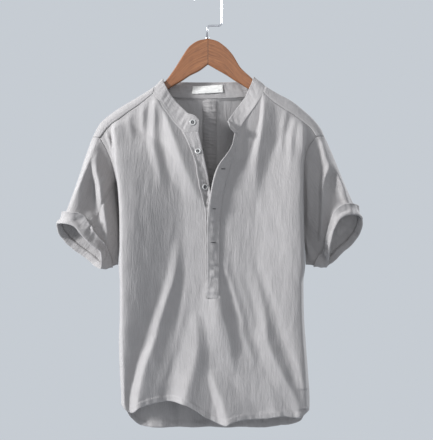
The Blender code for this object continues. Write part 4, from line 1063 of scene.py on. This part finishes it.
# ------------------------------------------------------------------------------ stitching
# Grey cotton thread, a shade lighter than the linen. Rows of topstitching hold the seams and
# hems, dense bars bind the buttonholes, and a crossed box closes the foot of the placket.
STITCH_LONG = 2.7
STITCH_PITCH = 3.4
STITCH_PROUD = 0.08
THREAD = 0.65
SEAM_ROWS = (2.2, 7.5)
HEM_ROW = HEM_TURN - 1.5
BAND_SEAM = 4.2
BAND_EDGE = 2.2
STRIP_SEAM = 3.4
STRIP_EDGE = 1.8
BOX_LEFT = 1.5
BOX_RIGHT = 17.5
EDGE_COLUMNS = 14
HOLE_LONG = 13.5
HOLES_DOWN = [-380.0, -462.0, -531.0]
BAR_WIDE = 1.7
BAR_PITCH = 0.75
BAR_PROUD = 0.1
TOWARDS = np.array([0.0, -1.0, 0.0])

thread = Finish("cotton_thread", {"Sheen Weight": 0.2, "Specular IOR Level": 0.3})
twisted = thread.streaky(thread.places(), (1800.0, 1800.0, 900.0), 2.0)
thread.set("Base Color", thread.ramp(twisted, [(0.3, (0.22, 0.21, 0.205)), (0.7, (0.36, 0.345, 0.34))]))
thread.set("Roughness", 0.7 + 0.2 * twisted)
thread.relief(twisted, 0.00012)
# Near-black painted shade, standing in for the shadowed inside of each buttonhole's cut.
dark = Finish("shaded_slit", {"Roughness": 0.95})
dark.set("Base Color", dark.ramp(dark.cloudy(dark.places(), 900.0, 2.0), [
    (0.3, (0.02, 0.02, 0.02)), (0.7, (0.05, 0.05, 0.05)),
]))


def between(knots, values, at):
    """Values at places between rising knots, on straight lines, for each column of values."""
    return np.stack([np.interp(at, knots, column) for column in values.T], -1)


def inset(lines, distance):
    """Points at a distance from the first point of each of a row of lines, shape (n, m, 3)."""
    return np.array([between(run, line, distance) for run, line in zip(run_along(lines, 1), lines)])


def sew_row(piece, lines, distance, away, wall):
    """Add one row of stitches that runs across the lines at a distance from their first points.
    Away is a rough direction, or one for each line, in which the stitched side faces."""
    spots = inset(lines, distance)
    down = inset(lines, distance + 1.5) - inset(lines, max(0.0, distance - 1.5))
    normals = np.cross(np.gradient(spots, axis=0), down)
    normals /= np.linalg.norm(normals, axis=1, keepdims=True) + 1e-9
    normals *= np.sign(np.sum(normals * np.broadcast_to(away, normals.shape), axis=1, keepdims=True))
    run = run_along(spots)
    at = np.arange(0.5 * STITCH_PITCH, run[-1], STITCH_PITCH)
    place = between(run, spots, at)
    ahead = between(run, spots, at + 1.0) - place
    for spot, along, out in zip(place, ahead, between(run, normals, at)):
        sew(piece, spot + out * (0.5 * wall + STITCH_PROUD), along, out, STITCH_LONG)


def sew(piece, spot, along, out, long):
    """Add one stitch: a short length of thread, sunk at both ends."""
    along, out = Vector(along).normalized(), Vector(out).normalized()
    side = out.cross(along).normalized()
    turn = Matrix((along, side, along.cross(side))).transposed().to_4x4()
    size = Matrix.Diagonal((0.5 * long * MM, 0.5 * THREAD * MM, 0.4 * THREAD * MM, 1.0))
    bmesh.ops.create_icosphere(
        piece, subdivisions=1, radius=1.0, matrix=Matrix.Translation(Vector(spot) * MM) @ turn @ size
    )


shoulder_rows = bmesh.new()
for side in ("left", "right"):
    part = top[:SHOULDER_COLUMNS + 1] if side == "left" else top[-SHOULDER_COLUMNS - 1:]
    for distance in SEAM_ROWS:
        sew_row(shoulder_rows, part, distance, TOWARDS, CLOTH)
    armhole_lines = halves[side][:EDGE_COLUMNS].transpose(1, 0, 2)
    armhole_lines = armhole_lines[armhole_lines[:, 0, 2] > UNDERARM_Z + 12.0]
    for distance in SEAM_ROWS:
        sew_row(shoulder_rows, armhole_lines, distance, TOWARDS, CLOTH)
    inwards = back_places if side == "left" else back_places[::-1]
    back_lines = inwards[:EDGE_COLUMNS].transpose(1, 0, 2)[2 * WRAP_ROWS + 4:]
    back_lines = back_lines[back_lines[:, 0, 2] > UNDERARM_Z + 12.0]
    sew_row(shoulder_rows, back_lines, SEAM_ROWS[0], -TOWARDS, CLOTH)
finished("shoulder_stitching", shoulder_rows, thread)

hem_rows = bmesh.new()
sew_row(hem_rows, front_places[:, ::-1], HEM_ROW, TOWARDS, CLOTH)
sew_row(hem_rows, back_places[:, ::-1], HEM_ROW, TOWARDS, CLOTH)
sew_row(hem_rows, back_places[:, ::-1], HEM_ROW, -TOWARDS, CLOTH)
finished("hem_stitching", hem_rows, thread)

neck_rows = bmesh.new()
outwards = band_places[:, 9] - np.array([2.0, 0.0, 0.0])
outwards[:, 2] = 0.0
sew_row(neck_rows, band_places, BAND_SEAM, outwards, DOUBLED)
sew_row(neck_rows, band_places[:, ::-1], BAND_EDGE, outwards, DOUBLED)
sew_row(neck_rows, band_places[:, ::-1], BAND_EDGE, -outwards, DOUBLED)
finished("neck_stitching", neck_rows, thread)


def on_buttonhole_strip(x, z):
    """A place on the strip, its directions across and down, and the way it faces."""
    spot, right, down = on_grid(strips["right"], *strip_spot("right", x, z))
    out = np.cross(down, right)
    return spot, right, down, out * (-np.sign(out[1]) / np.linalg.norm(out))


placket_rows = bmesh.new()
for side in ("left", "right"):
    lines = strips[side].transpose(1, 0, 2)
    sew_row(placket_rows, lines, STRIP_SEAM, TOWARDS, DOUBLED)
    sew_row(placket_rows, lines[:, ::-1], STRIP_EDGE, TOWARDS, DOUBLED)
corners = [
    (BOX_LEFT, BOX_TOP_Z), (BOX_RIGHT, BOX_TOP_Z), (BOX_RIGHT, BOX_FOOT_Z), (BOX_LEFT, BOX_FOOT_Z),
]
for first, last in ((0, 1), (1, 2), (2, 3), (3, 0), (0, 2), (1, 3)):
    start, end = np.array(corners[first]), np.array(corners[last])
    count = int(np.linalg.norm(end - start) / STITCH_PITCH)
    for number in range(count):
        x, z = start + (end - start) * (number + 0.5) / count
        spot, right, down, out = on_buttonhole_strip(x, z)
        along = right * (end - start)[0] / right[0] + down * (end - start)[1] / down[2]
        sew(placket_rows, spot + out * (0.5 * DOUBLED + STITCH_PROUD), along, out, STITCH_LONG)
slit_shade_bars = bmesh.new()
for z in HOLES_DOWN:
    free, stitched = slit(FREE["right"], z), slit(STITCHED["right"], z)
    middle = 0.5 * (free + stitched) + 0.5
    half = min(0.5 * HOLE_LONG, 0.5 * (stitched - free) - 1.5)
    for x in np.arange(middle - half, middle + half, BAR_PITCH):
        for edge in (-1.0, 1.0):
            spot, right, down, out = on_buttonhole_strip(x, z)
            down = down / np.linalg.norm(down)
            lifted = spot + out * (0.5 * DOUBLED + BAR_PROUD)
            sew(placket_rows, lifted + down * edge * BAR_WIDE, down, out, BAR_WIDE)
    # Three near-black bars along each buttonhole's middle: painted shade for the inside of the cut.
    spot, right, down, out = on_buttonhole_strip(middle, z)
    lifted = spot + out * (0.5 * DOUBLED + BAR_PROUD)
    for apart in (-0.5, 0.0, 0.5):
        sew(slit_shade_bars, lifted + down / np.linalg.norm(down) * apart, right, out, 2.0 * half)
finished("placket_stitching", placket_rows, thread)
finished("buttonhole_slit_shade", slit_shade_bars, dark)

for name, seat in seats.items():
    through = bmesh.new()
    along, _, out = seat.to_3x3().transposed()
    for hole in (-0.5, 0.5):
        spot = seat @ Vector((0.0, hole * HOLES_APART * MM, (0.5 * DOUBLED + 1.25) * MM))
        sew(through, spot / MM, along, out, HOLES_APART + 0.6)
    finished("thread_of_" + name, through, thread)


# ------------------------------------------------------------------------------ sleeves
# Each sleeve is one piece of linen sewn into the armhole, seamed underneath. The hanging arm
# holes pull it into folds that run from the shoulder to the cuff.
SLEEVE_COLUMNS = 156
SLEEVE_ROWS = 72
SLEEVE_RADIUS = 70.0
SLEEVE_LONG = 190.0
RIM_RADIUS = 58.0
RIM_WANDER = 1.3
# The rims of the openings: degrees round from the top over the front, then x, y, z.
RIMS = {
    "left": [
        (0, -315.5, -2, -491), (14, -304, -18, -491), (28, -290, -30, -492), (45, -274.5, -37, -497.5),
        (65, -263, -39, -511.5), (85, -250.5, -37, -526), (105, -238.5, -34, -538.5),
        (125, -226.5, -30, -545), (145, -222, -24, -559.5), (162, -222, -15, -574.5),
        (180, -224.5, -2, -586.5), (200, -236.5, 12, -581), (225, -254.5, 22, -567.5),
        (250, -272, 27, -556), (280, -291.5, 28, -541), (305, -304.5, 24, -527.5),
        (325, -313, 17, -515.5), (342, -317.5, 9, -503), (360, -315.5, -2, -491),
    ],
    "right": [
        (0, 323, -2, -480.5), (12, 315, -18, -475.5), (25, 302.5, -32, -472.5),
        (45, 286.5, -45, -473.5), (62, 271.5, -50, -483), (80, 261.5, -50, -499.5),
        (98, 255.5, -47, -518), (118, 252, -42, -536.5), (140, 250.5, -34, -553),
        (160, 250, -20, -568), (180, 248.5, -4, -582.5), (200, 259.5, 10, -574.5),
        (225, 273, 20, -564.5), (250, 288.5, 26, -550.5), (280, 304, 28, -536), (305, 315, 24, -522),
        (325, 321.5, 17, -509), (342, 324.5, 8, -495.5), (360, 323, -2, -480.5),
    ],
}
# How much the sleeve flares towards the front just above the rim, by degrees.
FLARES = {
    "left": [(0, 0), (60, 4), (120, 6), (180, 0), (360, 0)],
    "right": [(0, 4), (22, 20), (60, 24), (110, 18), (150, 10), (180, 0), (340, 0), (360, 4)],
}
# How far the outer edge is drawn in just above the cuff.
DRAWN_IN = {"left": 9.0, "right": -4.0}
# Seen from the front, as the front's creases are.
SLEEVE_CREASES = {
    "left": {
        "outer edge": [
            (-229, -319, 3, 6, 16), (-239, -341, 8, 8, 18), (-248, -366, 14, 8, 20),
            (-255, -384, 17, 8, 23), (-265, -407, 18, 8, 25), (-275, -428, 19, 8, 29),
            (-286, -452, 18, 6, 33), (-296, -477, 13, 6, 37), (-305, -509, 6, 6, 37),
        ],
        "long ridge": [
            (-229, -341, 0, 6, 12), (-231, -362, 8, 10, 18), (-230, -387, 15, 12, 27),
            (-225, -411, 20, 12, 35), (-220, -440, 21, 12, 37), (-215, -466, 18, 12, 37),
            (-212, -489, 11, 10, 37), (-209, -518, 6, 10, 37), (-207, -546, 0, 8, 25),
        ],
        "outer hollow": [
            (-243, -362, 0, 6, 8), (-244, -382, -5, 12, 12), (-243, -407, -10, 18, 16),
            (-241, -434, -13, 29, 18), (-238, -458, -14, 37, 20), (-235, -479, -10, 41, 18),
            (-235, -501, -3, 37, 16),
        ],
        "seam fold, upper": [
            (-205, -335, 0, 4, 4), (-196, -356, 4, 5, 5), (-189, -378, 5, 6, 5), (-184, -403, 2, 6, 5),
            (-182, -423, 0, 6, 5),
        ],
        "seam fold, lower": [
            (-213, -333, 0, 5, 5), (-205, -356, 3, 5, 6), (-196, -380, 4, 6, 6), (-189, -405, 3, 6, 6),
            (-185, -430, 0, 6, 6),
        ],
        "cuff pull": [
            (-245, -460, 0, 10, 10), (-241, -477, 3, 12, 12), (-237, -497, 4, 12, 12),
            (-233, -522, 0, 10, 10),
        ],
    },
    "right": {
        "long ridge": [
            (232, -315, 2, 6, 8), (238, -333, 9, 6, 12), (244, -354, 13, 8, 14),
            (251, -374, 15, 14, 14), (244, -393, 12, 8, 16), (238, -417, 9, 6, 18),
            (237, -454, 7, 5, 20), (236, -505, 6, 5, 16), (234, -542, 0, 6, 12),
        ],
        "outer edge": [
            (259, -362, 0, 8, 8), (270, -387, 9, 10, 8), (280, -411, 13, 14, 8),
            (287, -434, 14, 18, 8), (294, -456, 12, 23, 8), (296, -477, 4, 23, 8),
        ],
        "elbow dent": [
            (271, -417, 0, 6, 6), (279, -432, 5, 6, 8), (289, -448, 6, 8, 8), (296, -460, 0, 8, 8),
        ],
        "inner fold": [
            (201, -341, 0, 4, 8), (205, -393, 3, 4, 12), (208, -454, 3, 4, 12), (210, -516, 0, 4, 12),
        ],
        "low fold": [
            (199, -518, 0, 4, 6), (205, -536, 4, 6, 10), (214, -557, 5, 8, 12), (226, -575, 4, 10, 12),
            (234, -587, 0, 10, 10),
        ],
    },
}


def armhole(side):
    """The armhole's two runs, ridge to underarm: down the front, and down the back."""
    wrap = back_places[0 if side == "left" else -1]
    front_edge = halves[side][0]
    front_edge = front_edge[front_edge[:, 2] > UNDERARM_Z + 6.0]
    back_edge = wrap[2 * WRAP_ROWS + 1:]
    back_edge = back_edge[back_edge[:, 2] > UNDERARM_Z + 6.0]
    under = np.array([[side_lines(UNDERARM_Z, "front")[0 if side == "left" else 1], 0.0, UNDERARM_Z]])
    first = np.concatenate((wrap[WRAP_ROWS:0:-1], front_edge, under))
    second = np.concatenate((wrap[WRAP_ROWS:2 * WRAP_ROWS + 1], back_edge, under))
    return first, second


def tube_normals(places):
    """Unit normals of a closed tube of places, pointing away from its middle line."""
    round_it = np.roll(places, -1, axis=0) - np.roll(places, 1, axis=0)
    normals = np.cross(round_it, np.gradient(places, axis=1))
    normals /= np.linalg.norm(normals, axis=2, keepdims=True) + 1e-9
    away = np.sum((places - places.mean(axis=0, keepdims=True)) * normals, axis=(0, 2))
    return normals * np.sign(away)[None, :, None]


tubes = {}
for side in ("left", "right"):
    first, second = armhole(side)
    half = SLEEVE_COLUMNS // 2
    loop = np.concatenate((spread(first, half)[:-1], spread(second, half)[:0:-1]))
    degrees = 360.0 * np.arange(SLEEVE_COLUMNS) / SLEEVE_COLUMNS
    rim, flares = np.array(RIMS[side]), np.array(FLARES[side])
    ring = curves(rim[:, 0], rim[:, 1:], degrees)
    flare = curve(flares[:, 0], flares[:, 1], degrees)[:, None]
    ring[1:] += RIM_WANDER * np.stack([
        ruffled(np.radians(degrees[1:]) * RIM_RADIUS, 0.0 * degrees[1:], 15.0, 10.0, 91 + axis)
        for axis in range(3)
    ], -1) * np.sin(np.radians(degrees[1:]) / 2.0)[:, None]
    run = ring - loop
    step = run / np.linalg.norm(run, axis=1, keepdims=True)
    near_under = eased(1.0 - np.abs(degrees - 180.0) / 60.0)
    start = loop + step * (0.5 + 1.6 * near_under)[:, None]
    share = np.linspace(0.0, 1.0, SLEEVE_ROWS + 1)
    tube = start[:, None] + (ring - start)[:, None] * share[None, :, None]
    tube[..., 1] += flare * (share - eased((share - 0.8) / 0.2))
    outer = eased(1.0 - np.minimum(degrees, 360.0 - degrees) / 80.0)[:, None]
    tube[..., 0] += DRAWN_IN[side] * outer * (eased(share / 0.88) - eased((share - 0.86) / 0.14))
    normals = tube_normals(tube)
    x, z = tube[..., 0], tube[..., 2]
    seen = np.clip(-normals[..., 1], 0.0, 1.0) ** 0.5
    folds = creased(SLEEVE_CREASES[side], x, z) * seen * eased(share / 0.12)
    lengths = np.broadcast_to(share * SLEEVE_LONG, x.shape)
    turn_at = np.radians(degrees)[:, None] * SLEEVE_RADIUS
    own = crinkled(turn_at, lengths, 71 if side == "left" else 76)
    hidden = 3.0 * ruffled(turn_at, lengths, 26.0, 120.0, 73) * eased(normals[..., 1])
    tube = tube + normals * ((own + hidden) * eased(share / 0.1))[..., None]
    tube[..., 1] -= folds
    tubes[side] = tube
    whole = np.concatenate((tube, tube[:1]))
    all_round = np.radians(np.append(degrees, 360.0))[:, None] * SLEEVE_RADIUS
    cut = np.stack(np.broadcast_arrays(all_round, -lengths[:1]), -1)
    made = sewn(side + "_sleeve", whole, cut, CLOTH, closed=True)
    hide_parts("sleeve_" + side)


# ------------------------------------------------------------------------------ cuffs
# The end of each sleeve is folded out and up on itself and tacked at the seams. The fold is soft
# and crumpled, so its rims wander.
CUFF_CRUMPLE = 2.4
CUFF_THICK = DOUBLED * 0.8
CUFF_EDGE = 2.0
CUFF_TACK = 3.0
# How far the fold's free edge stands open, and how deep the fold is, by degrees round the rim.
CUFF_LIFTS = {
    "left": [(0, 4.0), (45, 5.0), (90, 2.0), (150, 0.0), (300, 0.0), (360, 4.0)],
    "right": [(0, 5.0), (40, 5.0), (75, 2.0), (120, 0.0), (300, 0.0), (360, 5.0)],
}
CUFF_DEPTHS = {
    "left": [(0, 26), (45, 28), (80, 27), (110, 22), (140, 20), (180, 25), (270, 28), (360, 26)],
    "right": [(0, 24), (30, 22), (62, 17), (90, 12), (125, 13), (155, 22), (180, 26), (270, 28), (360, 24)],
}


def down_tube(grid, lengths, at):
    """Places or directions at a length down each column of a tube."""
    return np.stack([curves(lengths[c], grid[c], at[c]) for c in range(len(grid))])


# Steps from inside the sleeve, round the fold and up outside: how far past the end, and off it.
CUFF_FOLD = [
    (-14.0, -1.3), (-9.0, -1.25), (-4.0, -1.2), (-0.5, -1.1), (0.9, -0.5), (1.3, 0.4), (1.0, 1.3), (0.2, 1.8),
]
CUFF_RISE = [(-step, 1.8 + 2.6 * step ** 3) for step in np.linspace(0.06, 1.0, 16)]

for side in ("left", "right"):
    tube = tubes[side]
    normals = tube_normals(tube)
    lengths = run_along(tube, 1)
    angle = 2.0 * np.pi * np.arange(SLEEVE_COLUMNS) / SLEEVE_COLUMNS
    end = tube[:, -1] - tube[:, -4]
    end /= np.linalg.norm(end, axis=1, keepdims=True)
    depths = curve(*zip(*CUFF_DEPTHS[side]), np.degrees(angle))
    lifts = curve(*zip(*CUFF_LIFTS[side]), np.degrees(angle))[:, None]
    profile = CUFF_FOLD + CUFF_RISE
    rows = []
    for number, (past, off) in enumerate(profile, 1 - len(CUFF_FOLD)):
        past = past * depths if number > 0 else np.full(SLEEVE_COLUMNS, past)
        at = np.maximum(lengths[:, -1] + past, 0.14 * lengths[:, -1])
        here = down_tube(tube, lengths, at) + end * np.maximum(0.0, past)[:, None]
        out = down_tube(normals, lengths, at)
        out /= np.linalg.norm(out, axis=1, keepdims=True)
        rows.append(here + out * (off + lifts * max(0.0, number / len(CUFF_RISE)) ** 3))
    cuff = np.stack(rows, 1)
    turn_at = angle[:, None] * RIM_RADIUS
    up = np.linspace(0.0, 50.0, len(profile))[None]
    level = up + 0.0 * turn_at
    crumple = ruffled(turn_at + 0.3 * up, level, 17.0, 30.0, 81)
    crumple += 0.6 * ruffled(turn_at, level, 8.0, 14.0, 82)
    grown = eased((np.arange(len(profile)) + 1.0 - len(CUFF_FOLD)) / 8.0)[None]
    cuff = cuff + tube_normals(cuff) * (CUFF_CRUMPLE * crumple * grown)[..., None]
    whole = np.concatenate((cuff, cuff[:1]))
    cut = np.stack(np.broadcast_arrays(np.append(angle, 2.0 * np.pi)[:, None] * RIM_RADIUS, up), -1)
    made = sewn(side + "_cuff", whole, cut, CUFF_THICK, closed=True)
    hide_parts("cuff_" + side)
    side + "_sleeve"
    cuff_rows = bmesh.new()
    outwards = whole[:, 10] - whole[:, 10].mean(axis=0)
    sew_row(cuff_rows, whole[:, ::-1], CUFF_EDGE, outwards, CUFF_THICK)
    sew_row(cuff_rows, whole, CUFF_TACK, -outwards, CUFF_THICK)
    finished(side + "_cuff_stitching", cuff_rows, thread)


# ------------------------------------------------------------------------------ studio
# A pale floor well below the hem and pale air all round. One soft light from the upper left rakes
# across the folds, weaker ones stand above, behind and in front, and the camera is square to the
# front.
CAMERA_X = 17.9
CAMERA_Z = -484.9
CAMERA_AWAY = 2300.0
PICTURE_WIDE = 924.0
FLOOR_Z = -1450.0
FLOOR_WIDE = 3200.0
AIR = (0.565, 0.604, 0.650, 1.0)
DAYLIGHT = (0.97, 1.0, 1.03)
# Each light's place and aim in metres, its power in watts and its size in metres.
LIGHTS = {
    "raking_light": ((-3.18, -1.46, 0.85), (0.0, 0.0, -0.5), 286.0, 0.6),
    "top_light": ((1.1, 0.3, 1.4), (0.02, 0.0, -0.4), 16.0, 1.0),
    "back_light": ((2.3, 2.4, 0.5), (0.0, 0.0, -0.5), 100.0, 0.8),
    "front_fill": ((0.5, -2.9, 0.3), (0.0, 0.0, -0.45), 16.0, 1.6),
}

pale = Finish("pale_floor", {"Roughness": 0.9})
pale.set("Base Color", pale.ramp(pale.cloudy(pale.places(), 3.0, 3.0), [
    (0.3, (0.33, 0.35, 0.375)), (0.7, (0.36, 0.38, 0.405)),
]))
ground = bmesh.new()
bmesh.ops.create_circle(
    ground, cap_ends=True, segments=64, radius=0.5 * FLOOR_WIDE * MM,
    matrix=Matrix.Translation((CAMERA_X * MM, 0.0, FLOOR_Z * MM))
)
data = bpy.data.meshes.new("floor")
ground.to_mesh(data)
ground.free()
data.materials.append(pale.material)
floor = bpy.data.objects.new("floor", data)
bpy.context.scene.collection.objects.link(floor)

air = bpy.data.worlds.new("pale_air")
air.use_nodes = True
sky = air.node_tree.nodes["Background"]
sky.inputs["Color"].default_value = AIR
sky.inputs["Strength"].default_value = 1.0
bpy.context.scene.world = air
bpy.context.scene.view_settings.view_transform = "Standard"

for name, (place, aim, power, size) in LIGHTS.items():
    lamp = bpy.data.lights.new(name, "AREA")
    lamp.energy = power
    lamp.size = size
    lamp.color = DAYLIGHT
    made = bpy.data.objects.new(name, lamp)
    made.location = place
    made.rotation_euler = (Vector(aim) - Vector(place)).to_track_quat("-Z", "Y").to_euler()
    bpy.context.scene.collection.objects.link(made)

lens = bpy.data.cameras.new("camera")
lens.sensor_fit = "AUTO"
lens.sensor_width = 36.0
lens.lens = 36.0 * CAMERA_AWAY / PICTURE_WIDE
camera = bpy.data.objects.new("camera", lens)
camera.location = (CAMERA_X * MM, -CAMERA_AWAY * MM, CAMERA_Z * MM)
camera.rotation_euler = (0.5 * math.pi, 0.0, 0.0)
bpy.context.scene.collection.objects.link(camera)
bpy.context.scene.camera = camera
